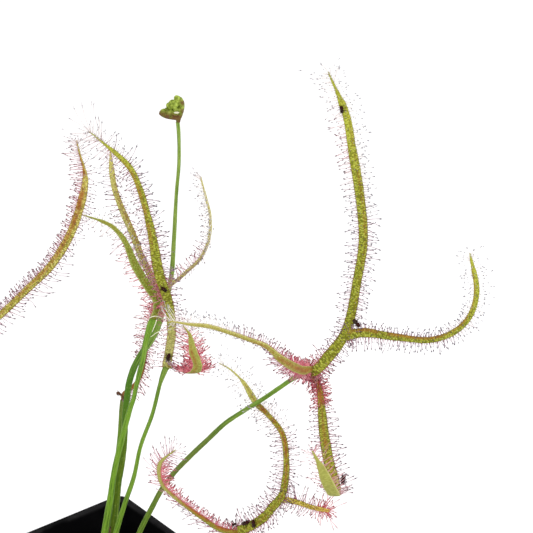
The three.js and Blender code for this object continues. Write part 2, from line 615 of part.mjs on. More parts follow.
// Turns a place in the fan of leaves into the pot's own directions.
function inPot([across, back]) {
  const turn = THREE.MathUtils.degToRad(PLANT_TURN_DEG);
  return new THREE.Vector2(across, back).rotateAround(new THREE.Vector2(), turn);
}

const rootedPlans = [...Object.values(LEAVES), FLOWER_STALK, OLD_STUB];

// The soil: it fills the pot, its top is gently uneven, and each stem stands in a plain hole.
function soilSolid() {
  const bottom = FLOOR + CLEARANCE;
  const edge = SOIL_LEVEL - SOIL_EDGE_DROP;
  const shoulder = innerHalf(edge) - CLEARANCE;
  const rings = [
    squareRing(innerHalf(bottom) - CLEARANCE, cornerAt(innerHalf(bottom)), bottom),
    squareRing(shoulder, cornerAt(shoulder), edge),
  ];
  for (const share of [0.85, 0.65, 0.42]) {
    const ring = squareRing(shoulder * share, cornerAt(shoulder) * share, SOIL_LEVEL);
    for (const point of ring) {
      const wave = Math.sin(point.x * 0.35 + 1) * Math.cos(point.y * 0.31);
      point.setZ(SOIL_LEVEL + SOIL_SWELL * (wave - 1));
    }
    rings.push(ring);
  }
  let solid = solidOf(skin(rings, undefined, new THREE.Vector3(0, 0, SOIL_LEVEL)));
  for (const { foot, thick } of rootedPlans) {
    const radius = widest(thick) / 2 + HOLE_CLEARANCE;
    const hole = new THREE.CylinderGeometry(radius, radius, 2 * (ROOT_DEPTH + CLEARANCE), 10);
    hole.rotateX(Math.PI / 2);
    const { x, y } = inPot(foot);
    hole.translate(x, y, SOIL_LEVEL);
    solid = solid.subtract(solidOf(hole));
  }
  return solid;
}

function named(name, solid, { color, roughness }) {
  const material = new THREE.MeshStandardMaterial({ color, roughness, metalness: 0 });
  const mesh = new THREE.Mesh(geometryOf(solid), material);
  mesh.name = name;
  return mesh;
}

const plant = new THREE.Group();
plant.rotation.z = THREE.MathUtils.degToRad(PLANT_TURN_DEG);
plant.position.z = SOIL_LEVEL;
for (const { name, solid } of leafSolids()) plant.add(named(name, solid, COLOURS.leaf));
plant.add(named("flower_stalk", flowerStalkSolid(), COLOURS.stalk));
plant.add(named("old_leaf_stub", rootedStem(OLD_STUB), COLOURS.old));

const sundew = new THREE.Group();
sundew.add(named("pot", potSolid(), COLOURS.pot));
sundew.add(named("soil", soilSolid(), COLOURS.soil));
sundew.add(plant);

export default sundew;
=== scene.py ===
import math

import bpy
import numpy as np
from bpy.props import FloatProperty, FloatVectorProperty, IntProperty, PointerProperty
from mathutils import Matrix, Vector


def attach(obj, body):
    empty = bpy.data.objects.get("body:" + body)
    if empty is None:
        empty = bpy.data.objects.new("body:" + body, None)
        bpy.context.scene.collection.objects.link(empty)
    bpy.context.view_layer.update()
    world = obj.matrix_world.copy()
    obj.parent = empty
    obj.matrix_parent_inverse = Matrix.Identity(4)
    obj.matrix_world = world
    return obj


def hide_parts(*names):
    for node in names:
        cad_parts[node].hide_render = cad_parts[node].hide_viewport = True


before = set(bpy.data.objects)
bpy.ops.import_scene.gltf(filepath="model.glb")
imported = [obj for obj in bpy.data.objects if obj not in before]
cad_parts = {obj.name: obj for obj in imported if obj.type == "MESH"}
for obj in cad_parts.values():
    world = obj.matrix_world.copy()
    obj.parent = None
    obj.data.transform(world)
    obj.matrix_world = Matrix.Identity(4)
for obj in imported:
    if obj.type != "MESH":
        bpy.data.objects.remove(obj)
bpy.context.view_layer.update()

bl_info = {
    "name": "Potted Forked Sundew",
    "version": (1, 0, 0),
    "blender": (4, 5, 0),
    "location": "View3D > Sidebar > Sundew",
    "description": "A forked sundew with glue-tipped tentacles in a square nursery pot",
    "category": "Add Mesh",
}

# Points and sizes in the tables are in millimetres. The plant's own are across, back and up from
# the middle of the soil's top, and its fan of leaves is then turned about the upright axis.
MM = 0.001
PLANT_TURN = math.radians(-39)
SOIL_TOP = 70.0
POT_HEIGHT = 80.0
SEED = 7

# Each leaf stands on one bare stalk, whose blades fork at its top, and "tan" is how brown the stalk
# is along it. A blade has its route and, at shares of its length, its width, and how bushy, how long
# and how red ("pink") its tentacles are, on both sides or on its left and its right; "red" is how
# strong the reddish line along it is, "rib" where that line lies across it, and "pale" how washed
# out its skin is. "face" is where its sticky side looks, or "side" is where its width runs, at even
# steps from root to tip. "joins" is the blade that it branches from, where that isn't the stalk,
# "tone" is the finish of its skin, "faint" is where its tentacles start to pale, and "tip" is the
# number and the length of those that fan out from its tip. "bare" are stretches of a side, -1 or 1,
# without any, and up to "ruff" they stand all round it. "knob" is the radius of a lump at its end.
LEAVES = {
    "leaf_tall_right": {
        "foot": (6.5, 3),
        "thick": [(0, 2.86), (0.25, 1.68), (0.5, 1.49), (0.9, 1.22), (1, 1.22)],
        "tan": [(0, 0.3), (0.3, 0.5), (0.45, 1), (0.6, 0.9), (0.75, 0.4), (1, 0.1)],
        "stem": [(9, 3, 12), (15.4, 2, 29.9), (19.9, -2, 41.8), (23.2, -4.5, 49.8), (26.7, -7, 56.4),
                 (31.6, -11, 64.4), (37, -15.5, 72.7), (42.2, -20, 80.7), (47.3, -25, 87.4),
                 (52.7, -30.5, 94.3), (57.4, -36, 101), (60.6, -40, 105.7), (64.5, -44, 110)],
        "blades": [
            {"route": [(64.5, -43, 109.5), (66.5, -45, 111), (69.8, -43, 113.8), (74.5, -41, 120.3),
                       (77.4, -38, 134), (78.8, -36, 144.5), (77.7, -34, 156.5), (75.5, -32, 169),
                       (74, -31, 177), (69.3, -31, 188.5)],
             "width": [(0, 2.65), (0.1, 3.07), (0.2, 2.57), (0.35, 2.35), (0.7, 2.46), (0.8, 2.07),
                       (0.89, 1.9), (0.925, 1.12), (0.945, 0.67), (1, 0.34)],
             "face": [(0, -1, 0.3), (-0.2, -1, 0.1)],
             "bush": [(0, 3), (0.05, 2.6), (0.09, 1)],
             "pink": [(0, 1, 0.9), (0.05, 0.9, 0.5), (0.12, 0.15, 0.1), (0.6, 0, 0), (0.75, 0.35, 0),
                      (1, 0, 0)],
             "red": [(0, 0.05), (0.4, 0.2), (0.55, 0.5), (0.75, 0.35), (0.9, 0.1)],
             "long": [(0, 0.7), (0.12, 0.85), (0.3, 0.9), (1, 1)],
             "tip": (12, 7), "rib": 0.4},
            {"route": [(74, -41.2, 118.5), (78.2, -42, 120.6), (87.4, -44, 120.4), (96.5, -45, 120.1),
                       (102.8, -45, 122.7), (106.4, -45, 127.3), (107.8, -44, 133.7),
                       (105.8, -42, 143.5)],
             "width": [(0, 2.7), (0.1, 2.54), (0.2, 2.06), (0.4, 1.63), (0.8, 1.48), (0.9, 1.32),
                       (0.95, 0.82), (1, 0.33)],
             "face": [(0, -1, 0.4), (-0.2, -1, 0.4)],
             "bush": [(0, 1)],
             "pink": [(0, 0.2), (0.3, 0)],
             "red": [(0, 0.7), (0.5, 0.8), (0.85, 0.4)],
             "long": [(0, 0.6, 0.9), (1, 0.75, 0.9)],
             "tip": (9, 4.4), "joins": 0, "rib": -0.6},
            {"route": [(65.5, -43, 110.2), (62.7, -52, 115), (57.5, -60, 122.5), (53.7, -61, 126.7),
                       (49.4, -60, 128.1), (44.1, -57, 128.6), (39.3, -54.5, 128.9), (34.3, -52, 128.2),
                       (29.2, -50, 128.1)],
             "width": [(0, 1.1), (0.07, 1.9), (0.15, 2.3), (0.3, 2.35), (0.4, 2.1), (0.5, 1.7),
                       (0.6, 1.5), (0.8, 1.35), (0.87, 1.1), (0.93, 0.65), (1, 0.25)],
             "side": [(0, -0.43, -0.9), (0, 0.2, -1), (-0.3, 0.5, -0.7), (-0.2, 0.3, -0.9)],
             "bush": [(0, 1.5), (0.25, 1.5), (0.5, 1.3), (1, 1.1)],
             "pink": [(0, 0.9, 0.8), (0.3, 0.85, 0.6), (0.5, 0.25, 0.2), (0.7, 0, 0)],
             "red": [(0, 0.85), (0.2, 0.9), (0.35, 0.85), (0.5, 0.7), (0.7, 0.2)],
             "pale": [(0.3, 0), (0.6, 0.12), (1, 0.15)],
             "long": [(0, 0.7, 0.75), (0.35, 0.6, 0.8), (0.6, 0.7, 0.8), (1, 1, 1)],
             "tone": "khaki", "tip": (7, 4.5)},
            {"route": [(65, -43.8, 110), (67.5, -45.4, 106.5), (68.2, -48, 102), (68.8, -52, 96.5),
                       (69.85, -57, 91.5), (71.4, -62, 87.5), (71.4, -67, 86.8), (69.5, -70.3, 92),
                       (67.3, -71, 98), (65.3, -71, 102.2)],
             "width": [(0, 1.3), (0.08, 1.22), (0.15, 1.74), (0.25, 2.4), (0.4, 2.78), (0.55, 2.73),
                       (0.67, 3.02), (0.77, 3.29), (0.82, 3.07), (0.9, 2.02), (0.95, 0.91), (1, 0.3)],
             "side": [(-1, 0, 0)],
             "bush": [(0, 2.6, 2.6), (0.16, 2.6, 2.6), (0.2, 1, 1), (0.5, 0.8, 0.8), (0.64, 1, 0.8),
                      (0.7, 1, 0.15), (0.85, 0.7, 0.7)],
             "pink": [(0, 1, 1), (0.17, 1, 1), (0.21, 0.15, 0.15), (0.6, 0.1, 0.2), (0.75, 0.5, 0.5),
                      (1, 0.7, 0.3)],
             "red": [(0, 1), (0.15, 1), (0.2, 0.5), (0.3, 0.7), (0.6, 0.6), (0.7, 0)],
             "pale": [(0.6, 0), (0.7, 0.45), (1, 0.5)],
             "long": [(0, 0.8, 0.8), (0.2, 0.7, 0.7), (0.3, 1, 0.9), (1, 1, 1)],
             "tip": (7, 3), "ruff": 0.17},
        ],
    },
    "leaf_middle": {
        "foot": (2.5, -1),
        "thick": [(0, 2.6), (0.35, 1.69), (0.5, 1.43), (0.65, 1.17), (0.93, 1.1), (1, 1.69)],
        "tan": [(0, 0.1), (0.8, 0.2), (1, 0.5)],
        "stem": [(4.2, -0.6, 14), (8.5, 0, 31), (11.6, -2, 42.4), (14.8, -4, 53), (17.4, -7, 65.6),
                 (21.3, -10, 78), (24.2, -13, 90.5), (25.8, -14, 95.4)],
        "blades": [
            {"route": [(25.6, -13.9, 94.6), (27.1, -15, 102.8), (27.7, -16, 108), (27.1, -16, 115.7),
                       (24.6, -16, 125.4), (22.7, -15, 137.8), (19.9, -13, 148.9), (17.6, -12.4, 154.5),
                       (14.4, -11.5, 157.9), (11.7, -10.8, 160.1), (6.5, -10, 164.4)],
             "width": [(0, 2.5), (0.1, 2.45), (0.45, 2.82), (0.55, 2.36), (0.65, 1.8), (0.83, 1.53),
                       (0.88, 1.26), (0.92, 0.79), (0.96, 0.42), (1, 0.2)],
             "face": [(0, -1, 0.2), (0, -1, 0.3)],
             "bush": [(0, 0.6, 0.6), (0.14, 0.6, 0.6), (0.25, 0.9, 0.9), (0.5, 1, 0.9), (1, 0.9, 0.9)],
             "pink": [(0, 0.4, 0.3), (0.12, 0.5, 0.3), (0.3, 0.8, 0.1), (0.45, 0.4, 0.1),
                      (0.65, 0.2, 0)],
             "red": [(0, 0), (0.48, 0.05), (0.58, 0.75), (0.75, 0.75), (0.86, 0.3), (0.95, 0)],
             "pale": [(0, 0.6), (0.12, 0.75), (0.18, 0.6), (0.28, 0.1), (0.34, 0)],
             "long": [(0, 0.8, 1), (0.5, 0.8, 1.1), (1, 1, 1)],
             "tip": (16, 10), "rib": -0.4, "faint": 0.8},
            {"route": [(26, -13, 94.8), (28.6, -18, 97.4), (30.9, -24, 99.8), (33.1, -30, 102.4),
                       (34.9, -35, 105.6), (35.5, -36.5, 108.1), (35.1, -37, 110.2), (34.5, -37, 111.9),
                       (34.2, -37, 113.6), (33.9, -36.8, 115.5), (33.5, -36.5, 117.3),
                       (31.8, -36, 119.6)],
             "width": [(0, 2), (0.25, 2), (0.4, 2.5), (0.5, 3.1), (0.62, 3), (0.7, 2.55), (0.8, 2.35),
                       (0.87, 1.7), (0.92, 1), (0.96, 0.45), (1, 0.25)],
             "side": [(-0.3, -0.5, 0.8), (-0.9, -0.4, 0.2), (-1, 0, 0), (-1, 0, 0)],
             "bush": [(0, 0.25), (0.3, 0.4), (0.44, 1.3), (0.55, 2.2), (0.78, 2.4), (0.88, 1.5),
                      (1, 1)],
             "pink": [(0, 0, 0), (0.35, 0.3, 0.3), (0.48, 1, 1), (0.85, 0.9, 1), (0.95, 0.5, 0.7),
                      (1, 0.1, 0.2)],
             "red": [(0, 0.8), (0.3, 0.8), (0.5, 0.6), (0.9, 0.65)],
             "pale": [(0.2, 0), (0.6, 0.35), (1, 0.4)],
             "long": [(0, 0.6), (0.4, 1), (0.6, 1), (0.75, 0.9), (1, 0.8)],
             "tip": (8, 5), "rib": 0.3},
        ],
    },
    "leaf_back_left": {
        "foot": (0, 3),
        "thick": [(0, 2.35), (0.34, 2.18), (0.5, 1.74), (0.68, 1.59), (0.76, 1.29), (0.87, 1.49),
                  (0.95, 1.79), (1, 2.24)],
        "tan": [(0, 0), (1, 0.1)],
        "stem": [(1.8, 3, 12), (5.4, 3, 32.1), (7.3, 3, 43.1), (8, 3, 47.9), (9.3, 2.5, 54.5),
                 (11.5, 1.5, 63.6), (14, 0.5, 73.3), (15.4, 0, 77.8), (16.3, -0.5, 82.2),
                 (17.3, -1, 86.5), (18.5, -2, 91.4), (19.3, -3, 96.2), (20.6, -3.6, 101.6),
                 (21.9, -4, 105.6)],
        "blades": [
            {"route": [(21.8, -4.1, 104.9), (23.2, -4, 108.2), (23.1, -4, 111), (20.4, -3.5, 115.6),
                       (17.1, -3, 121.8), (14.5, -2.3, 128.6), (11.3, -2, 132.8), (8, -2, 134.7),
                       (3, -2, 136.5)],
             "width": [(0, 2.09), (0.06, 2.86), (0.13, 3.08), (0.2, 2.53), (0.45, 2.59), (0.55, 2.09),
                       (0.65, 1.65), (0.75, 1.26), (0.86, 0.99), (0.9, 0.55), (1, 0.28)],
             "face": [(-0.5, 0.85, -0.35)],
             "bush": [(0, 1.1, 0.6), (0.35, 1.1, 0.5), (0.55, 0.8, 0.6)],
             "pink": [(0, 0.6, 1), (0.15, 0.25, 1), (0.35, 0.15, 1), (0.5, 0, 0.8), (0.7, 0, 0.2)],
             "red": [(0, 0.5), (0.2, 0.3), (0.5, 0.2), (0.8, 0.4)],
             "tone": "green", "tip": (6, 3)},
            {"route": [(23, -4, 107.1), (23.9, -3.6, 109.1), (23.4, -2, 112.2), (21.6, 1.5, 115.2),
                       (18.8, 4, 120.2), (16.1, 6, 127.1), (12.9, 7, 135.3), (11.4, 7, 140.7),
                       (10.8, 7, 146.2), (10.6, 7, 151.7)],
             "width": [(0, 2.09), (0.2, 2.38), (0.45, 2.27), (0.6, 2.21), (0.72, 1.92), (0.88, 1.82),
                       (0.93, 1.38), (0.97, 0.73), (1, 0.36)],
             "face": [(-0.5, -0.9, 0.1)],
             "bush": [(0, 0.8), (0.25, 0.5)],
             "pink": [(0, 1, 1), (0.3, 0.9, 0.9), (0.5, 0.4, 0.5), (0.8, 0, 0.1)],
             "red": [(0, 0.95), (0.2, 0.85), (0.4, 0.6), (0.7, 0.7), (0.85, 0.05)],
             "pale": [(0, 0.5), (0.5, 0.45), (1, 0.3)],
             "tone": "khaki", "tip": (5, 2.2), "rib": 0.4, "faint": 0.85},
            {"route": [(23.4, -4.1, 107.7), (24.5, -4.3, 110), (26.5, -4.2, 115.3), (29.9, -4, 118.4),
                       (32, -4, 120.5), (35.2, -4, 123.8), (37.3, -4.5, 128.2), (38.3, -5, 133),
                       (38.3, -5, 137.8), (37.4, -5, 142.3), (35.9, -5, 149.1)],
             "width": [(0, 1.75), (0.3, 1.23), (0.6, 1.1), (0.85, 0.85), (1, 0.36)],
             "side": [(0.3, -0.9, 0.1), (0.4, -0.9, 0)],
             "bush": [(0, 0.9, 0.3), (0.35, 0.8, 0.8), (0.8, 0.7, 0.7)],
             "pink": [(0, 0.9, 0.2), (0.3, 0.6, 0.2), (0.6, 0.1, 0)],
             "red": [(0, 0.4), (0.5, 0.3), (1, 0.2)],
             "pale": [(0, 0.8), (1, 0.7)],
             "long": [(0, 1, 1), (0.4, 1, 1.1), (1, 1, 1.2)],
             "tone": "khaki", "tip": (7, 3.2), "faint": 0.35},
        ],
    },
    "leaf_young_back": {
        "foot": (-1.5, 9),
        "thick": [(0, 1.87), (0.5, 1.32), (1, 1.1)],
        "tan": [(0, 0.2), (0.8, 0.2), (1, 0.9)],
        "stem": [(1, 9.3, 10), (5.4, 9.6, 24.9), (7.3, 10, 40.1), (8.6, 10.5, 49.6), (9.7, 11.2, 57.9),
                 (10.1, 12, 62.5), (10.4, 12.6, 66.4), (10.8, 13, 69.6)],
        "blades": [
            {"route": [(10.8, 13, 69.3), (10.9, 12.7, 71), (10.5, 12.3, 71.9), (9.8, 12, 72.4)],
             "width": [(0, 1), (0.7, 0.8), (1, 1)],
             "face": [(0, -0.4, 1), (1, 0, 0.2)],
             "bush": [(0, 0.2)],
             "tone": "brown", "tip": (2, 1), "knob": 0.62},
            {"route": [(10.8, 13.2, 69.8), (11.3, 14.5, 71.1), (12.6, 15.5, 71.5), (13.9, 16.5, 72.2),
                       (15, 17, 73.3), (15.8, 17.3, 74.7), (16.5, 17.5, 76.5), (17, 17.7, 78.6),
                       (17.3, 17.8, 80.5), (17.9, 18, 83.8), (18.9, 18, 88.1), (19.9, 18, 93.1),
                       (20.6, 18, 97.7)],
             "width": [(0, 1), (0.2, 1.3), (0.35, 1.5), (0.7, 1.5), (0.9, 1.1), (1, 0.4)],
             "face": [(-0.3, -1, 0)],
             "bush": [(0, 1.2), (1, 1.4)],
             "pink": [(0, 0.45, 0.55), (0.6, 0.7, 0.6), (1, 0.8, 0.8)],
             "red": [(0, 1)],
             "bare": [(-1, 0, 0.45)],
             "tone": "rust", "tip": (7, 2.6)},
        ],
    },
    "leaf_far_left": {
        "foot": (-5, -1),
        "thick": [(0, 2.48), (0.5, 1.84), (1, 1.62)],
        "tan": [(0, 0.3), (1, 0.6)],
        "stem": [(-9, -3, 12), (-16, -9, 26), (-26, -18, 43), (-33, -27, 68), (-36, -38, 92),
                 (-35, -47, 110)],
        "blades": [
            {"route": [(-35.5, -46, 108.5), (-27, -46, 116), (-15.2, -37, 124), (-9.2, -31, 128),
                       (-3.6, -25, 131.8), (1.2, -21, 138.5), (4.1, -18, 145.6), (5.7, -15.8, 152.8),
                       (5.3, -15, 156.2), (4.6, -14.4, 158.5), (3.6, -13.8, 163.2)],
             "width": [(0, 2.07), (0.4, 1.9), (0.65, 2.47), (0.8, 2.44), (0.86, 1.87), (0.89, 1.17),
                       (0.91, 0.74), (0.95, 0.49), (1, 0.24)],
             "face": [(-0.3, -0.8, 0.5), (-0.4, -0.9, 0.2)],
             "bush": [(0, 1.2, 0.6), (0.5, 1.6, 0.7), (1, 1.4, 0.8)],
             "pink": [(0, 0.2, 0.2), (0.5, 0.3, 0.1), (0.65, 0.5, 0.1), (0.9, 0.5, 0.1), (1, 0.2, 0)],
             "red": [(0, 0.7), (0.5, 0.7), (0.68, 0.8), (0.78, 1)],
             "long": [(0, 0.6, 1.5), (0.5, 0.6, 1.5), (0.7, 0.6, 1.2), (1, 0.8, 1.2)],
             "tone": "khaki", "tip": (8, 3.5), "rib": -0.3, "faint": 0.8},
            {"route": [(-35.5, -46, 108.7), (-40, -51, 119), (-45, -53, 132), (-48, -51, 147),
                       (-47.5, -46, 161), (-43, -41, 170)],
             "width": [(0, 2.3), (0.5, 2.1), (0.8, 1.6), (0.92, 0.9), (1, 0.4)],
             "face": [(0.5, -0.8, 0.2), (0.4, -0.9, 0)],
             "bush": [(0, 1.4), (0.1, 1)],
             "red": [(0, 0.5), (1, 0.2)],
             "tone": "lime", "tip": (8, 4)},
        ],
    },
    "leaf_low_front": {
        "foot": (3.5, -6.5),
        "thick": [(0, 2.31), (0.5, 1.68), (1, 1.58)],
        "tan": [(0, 0.4), (1, 0.7)],
        "stem": [(6, -9.5, 12), (11, -15.5, 26), (20, -24, 38), (30, -32, 46), (38.5, -37.5, 51),
                 (45.2, -40, 57.5)],
        "blades": [
            {"route": [(45.7, -40, 57.3), (43.2, -41, 58.6), (40.2, -42, 60.5), (37.2, -42.7, 63.4),
                       (34.2, -43, 66.1), (31.2, -43, 68.8), (28.2, -42.5, 71.4), (26.1, -42, 73.5),
                       (25, -42, 76.1), (24.8, -42, 79.2), (25.3, -42.2, 81.3), (26.4, -42.5, 82.9),
                       (29.4, -43, 85.8)],
             "width": [(0, 1.9), (0.25, 1.5), (0.5, 1.3), (0.62, 1.25), (0.72, 1.1), (0.82, 1.2),
                       (0.88, 0.85), (0.92, 0.45), (1, 0.25)],
             "side": [(0, 0.2, -1), (-0.2, 0.3, -0.9), (-0.9, 0.35, 0.1), (-0.9, 0.3, 0.4)],
             "bush": [(0, 1.6, 0.9), (0.5, 1.9, 0.9), (0.6, 2.4, 0.9), (0.8, 2, 0.9), (0.9, 1.1, 0.9),
                      (1, 0.9, 0.9)],
             "pink": [(0, 0.7, 0.3), (0.4, 0.8, 0.25), (0.6, 0.95, 0.6), (0.8, 0.9, 0.55),
                      (0.92, 0.3, 0.3), (1, 0.1, 0.1)],
             "red": [(0, 1), (0.35, 1), (0.5, 0.9), (0.65, 0.6), (0.8, 0.5), (1, 0.3)],
             "pale": [(0, 0), (0.35, 0.1), (0.55, 0.7), (0.85, 0.7), (1, 0.3)],
             "long": [(0, 0.6, 1.9), (0.5, 0.65, 1.9), (0.65, 0.9, 1.6), (1, 1, 1)],
             "tip": (8, 4.5), "rib": -0.9, "faint": 0.95},
            {"route": [(44.5, -39.8, 57.2), (49, -41, 60.1), (53.1, -42, 63.8), (55.3, -43, 67.5),
                       (57.9, -43, 71.2), (59, -42, 76.4), (59.2, -41, 81.1), (58.2, -37, 87),
                       (54.1, -31, 89.9), (51.1, -27, 91), (49.2, -24, 92.8), (47.8, -22.5, 94.6),
                       (46.2, -21, 95.9), (43.7, -20, 97.9), (40.7, -19, 99.3)],
             "width": [(0, 2.73), (0.25, 2.52), (0.33, 2.1), (0.5, 1.61), (0.68, 1.35), (0.74, 1.67),
                       (0.8, 1.75), (0.86, 1.2), (0.9, 0.5), (1, 0.25)],
             "face": [(-0.3, -0.9, 0.5), (-0.3, -0.6, 0.7)],
             "bush": [(0, 1.7), (0.1, 1)],
             "pink": [(0, 0.2, 0.4), (0.3, 0.2, 0.1), (0.6, 0.1, 0.1), (1, 0, 0)],
             "red": [(0, 0.2), (0.25, 0.45), (0.45, 0.8), (0.6, 1), (0.72, 1), (0.8, 0.5), (0.95, 0.4)],
             "pale": [(0.66, 0), (0.76, 0.35), (0.9, 0.5), (1, 0.4)],
             "tip": (8, 5), "rib": 0.1},
            {"route": [(57.4, -42.9, 70), (62.6, -45, 70.4), (65.5, -46, 69.8), (70.9, -47, 69)],
             "width": [(0, 1.8), (0.4, 1.35), (0.85, 1.2), (1, 0.9)],
             "face": [(0, -0.8, 0.6)],
             "bush": [(0, 0.9), (0.6, 1), (1, 2)],
             "pink": [(0, 0.1, 0.2), (0.6, 0.4, 0.4), (0.85, 1, 1)],
             "red": [(0, 0.2), (0.6, 0.4), (1, 0.8)],
             "tone": "amber", "tip": (12, 2.4), "joins": 1},
        ],
    },
}

# What a blade has where its entry doesn't say.
USUAL_BLADE = {"pink": [(0, 0)], "long": [(0, 1)], "red": [(0, 0)], "pale": [(0, 0)], "rib": 0.0,
               "faint": 0.5, "ruff": 0.0, "bare": [], "tone": "olive"}

FLOWER_STALK = {
    "foot": (3.8, 8),
    "thick": [(0, 2.7), (0.2, 2.5), (0.3, 2.2), (0.42, 1.85), (0.5, 1.9), (0.61, 1.9), (0.66, 1.75),
              (0.72, 1.4), (0.8, 1.2), (0.88, 1.0), (0.97, 1.0), (1, 1.1)],
    "stem": [(5.2, 7.7, 12), (7, 7.6, 26.2), (7.9, 7.3, 34), (9.3, 7, 45.5), (10.5, 7, 51.8),
             (11.6, 7, 60.4), (12.2, 7.2, 69.5), (12.8, 7.4, 73.6), (13.5, 7.7, 78.3),
             (15.3, 8, 83.8), (17.6, 8.2, 88.1), (20.1, 8.3, 91.9), (21.8, 8.3, 95.2),
             (22.8, 8.5, 98), (23.9, 8.6, 101.8), (26.4, 9, 111.2), (27.6, 8, 124), (28.7, 6, 139.3),
             (29.6, 6, 148.7), (29.7, 6, 157.6), (29.5, 6, 160.8)],
    # The coiled head stands on the last point of the stem. Its arms, its folded petal and its
    # buds, (across, back, up, radius), are placed from its middle.
    "head": (0.15, 0, 0.7),
    "petal": (-0.4, -1.4, 2.6),
    "arms": [
        [(0, 0, 0.4), (-1.5, -0.3, 0.8), (-3.2, -0.6, 1.4), (-4.2, -0.8, 2.1)],
        [(-0.1, 0, -0.7), (0.1, 0, 0.3), (0.5, 0.2, 1.3), (0.95, 0.3, 3.2), (0.9, 0.1, 4.9),
         (0.3, 0, 6.0)],
    ],
    "buds": [(-4.2, -0.8, 2.5, 1.05), (-2.7, -0.8, 2.0, 1.0), (-2.1, -0.3, 4.1, 1.2),
             (-1.7, -0.6, 5.0, 0.95), (0.05, -0.1, 5.9, 1.15), (-0.5, -0.7, 4.8, 0.85),
             (-0.6, -0.8, 3.4, 0.95), (0.75, -0.2, 4.6, 0.85), (0.6, -0.2, 2.7, 0.95),
             (-0.9, -0.2, 1.9, 1.1), (-1.2, 0.9, 3.2, 1.2), (0.2, 1.1, 4.2, 1.05),
             (-2.9, 0.4, 2.4, 1.0), (-1.9, 0.2, 2.7, 1.0)],
}

OLD_STUB = {
    "foot": (2.2, 5.4), "thick": [(0, 1.4), (1, 1.1)],
    "stem": [(3.9, 5, 12), (5.6, 4.9, 26), (6.2, 4.9, 30)],
}

# Small flies stuck to the blades: the leaf, the blade, how far along it, how far across it from its
# middle in half widths, the fly's length, and its heading in degrees from the way to the tip.
FLIES = [
    ("leaf_tall_right", 0, 0.88, -0.57, 1.8, 10),
    ("leaf_tall_right", 1, 0.085, -2.1, 2.3, 60),
    ("leaf_middle", 0, 0.348, 0, 1.8, -35),
    ("leaf_middle", 0, 0.06, 0.05, 2.2, 5),
    ("leaf_tall_right", 3, 0.03, -1.2, 1.9, 40),
    ("leaf_tall_right", 3, 0.574, -1.6, 2.4, 15),
    ("leaf_low_front", 0, 0.05, -2.6, 1.3, 30),
    ("leaf_low_front", 1, 0.085, -1, 2.2, 0),
    ("leaf_low_front", 1, 0.115, -0.1, 2, -70),
]

# Pale threads of dried glue drawn out between the stalks at the forks of two leaves.
THREADS = [
    [(20.5, -4.6, 105), (21.2, -6.2, 106.9), (22.5, -6.6, 107.5), (23.8, -7.6, 107.8), (25, -11, 108.8),
     (26.1, -15.4, 110.3)],
    [(23.2, -6.8, 107.1), (22.5, -6.4, 104.6), (21.6, -6, 102.2)],
    [(24.5, -8.4, 104), (22.8, -6.6, 102.2), (21.1, -5.6, 100.4)],
]


# ---------------------------------------------------------------------------------------------
# Sizes and colours that a user would change


def length_value(name, description, millimetres, least=0.0):
    """A length property whose default is given in millimetres."""
    return FloatProperty(name=name, description=description, default=millimetres * MM,
                         min=least * MM, subtype="DISTANCE", unit="LENGTH")


def colour_value(name, description, colour):
    return FloatVectorProperty(name=name, description=description, default=colour, size=3,
                               min=0.0, max=1.0, subtype="COLOR")


class SundewPlantSettings(bpy.types.PropertyGroup):
    """Sizes and colours of the plant."""

    blade_thickness: length_value("Blade thickness", "Thickness of a blade at its middle", 0.85)
    tentacle_length: length_value("Tentacle length", "Reach of a tentacle on a blade's margin", 3.2)
    tentacle_spacing: length_value("Tentacle spacing", "Distance between tentacles", 1.0, 0.4)
    tentacle_width: length_value("Tentacle width", "Thickness of a tentacle at its middle", 0.15)
    drop_width: length_value("Drop width", "Width of a drop of glue", 0.44)
    olive: colour_value("Olive face", "Sticky side of a full-grown blade", (0.29, 0.305, 0.024))
    lime: colour_value("Lime face", "Sticky side of a fresh blade", (0.34, 0.365, 0.03))
    green: colour_value("Green face", "Sticky side of the greenest blade", (0.28, 0.33, 0.04))
    khaki: colour_value("Khaki face", "Sticky side of a paler blade", (0.42, 0.38, 0.065))
    amber: colour_value("Amber face", "Sticky side of an ageing blade", (0.48, 0.38, 0.05))
    rust: colour_value("Rusty face", "Sticky side of a reddened blade", (0.34, 0.22, 0.06))
    brown: colour_value("Withered blade", "Curled, withered blade", (0.10, 0.045, 0.02))
    pale: colour_value("Pale skin", "Palest parts of a blade", (0.60, 0.56, 0.22))
    vein: colour_value("Red line", "Reddish line along a blade", (0.30, 0.085, 0.015))
    # Painted highlight along the margins of a blade's back.
    edge: colour_value("Blade edge", "Pale line along the margin of a blade's back",
                       (0.55, 0.50, 0.22))
    stalk: colour_value("Leaf stalk", "Bare stalk of a leaf", (0.16, 0.31, 0.025))
    stalk_tan: colour_value("Browned stalk", "Leaf stalk where it is browner", (0.14, 0.18, 0.035))
    # Dark streaks: partly painted shade along a stalk's sides.
    stalk_dark: colour_value("Dark streak", "Darker streaks along a stalk", (0.05, 0.12, 0.01))
    stalk_pale: colour_value("Pale streak", "Pale streaks along a stalk", (0.36, 0.45, 0.12))
    tentacle_foot: colour_value("Tentacle foot", "Foot of a tentacle", (0.32, 0.07, 0.13))
    tentacle_tip: colour_value("Tentacle end", "Upper part of a tentacle", (0.36, 0.25, 0.31))
    tentacle_faint: colour_value("Faint tentacle", "Tentacle near a blade's tip",
                                 (0.80, 0.74, 0.70))
    crimson: colour_value("Crimson tentacle", "Tentacle where they crowd together",
                          (0.50, 0.06, 0.10))
    rose: colour_value("Rose tentacle", "Paler tentacle among the crimson ones",
                       (0.76, 0.31, 0.33))
    gland: colour_value("Gland", "Gland inside a drop of glue", (0.13, 0.09, 0.12))
    gland_faint: colour_value("Faint gland", "Gland near a blade's tip", (0.42, 0.40, 0.43))
    dew: colour_value("Glue", "Clear drops of glue", (0.80, 0.79, 0.83))


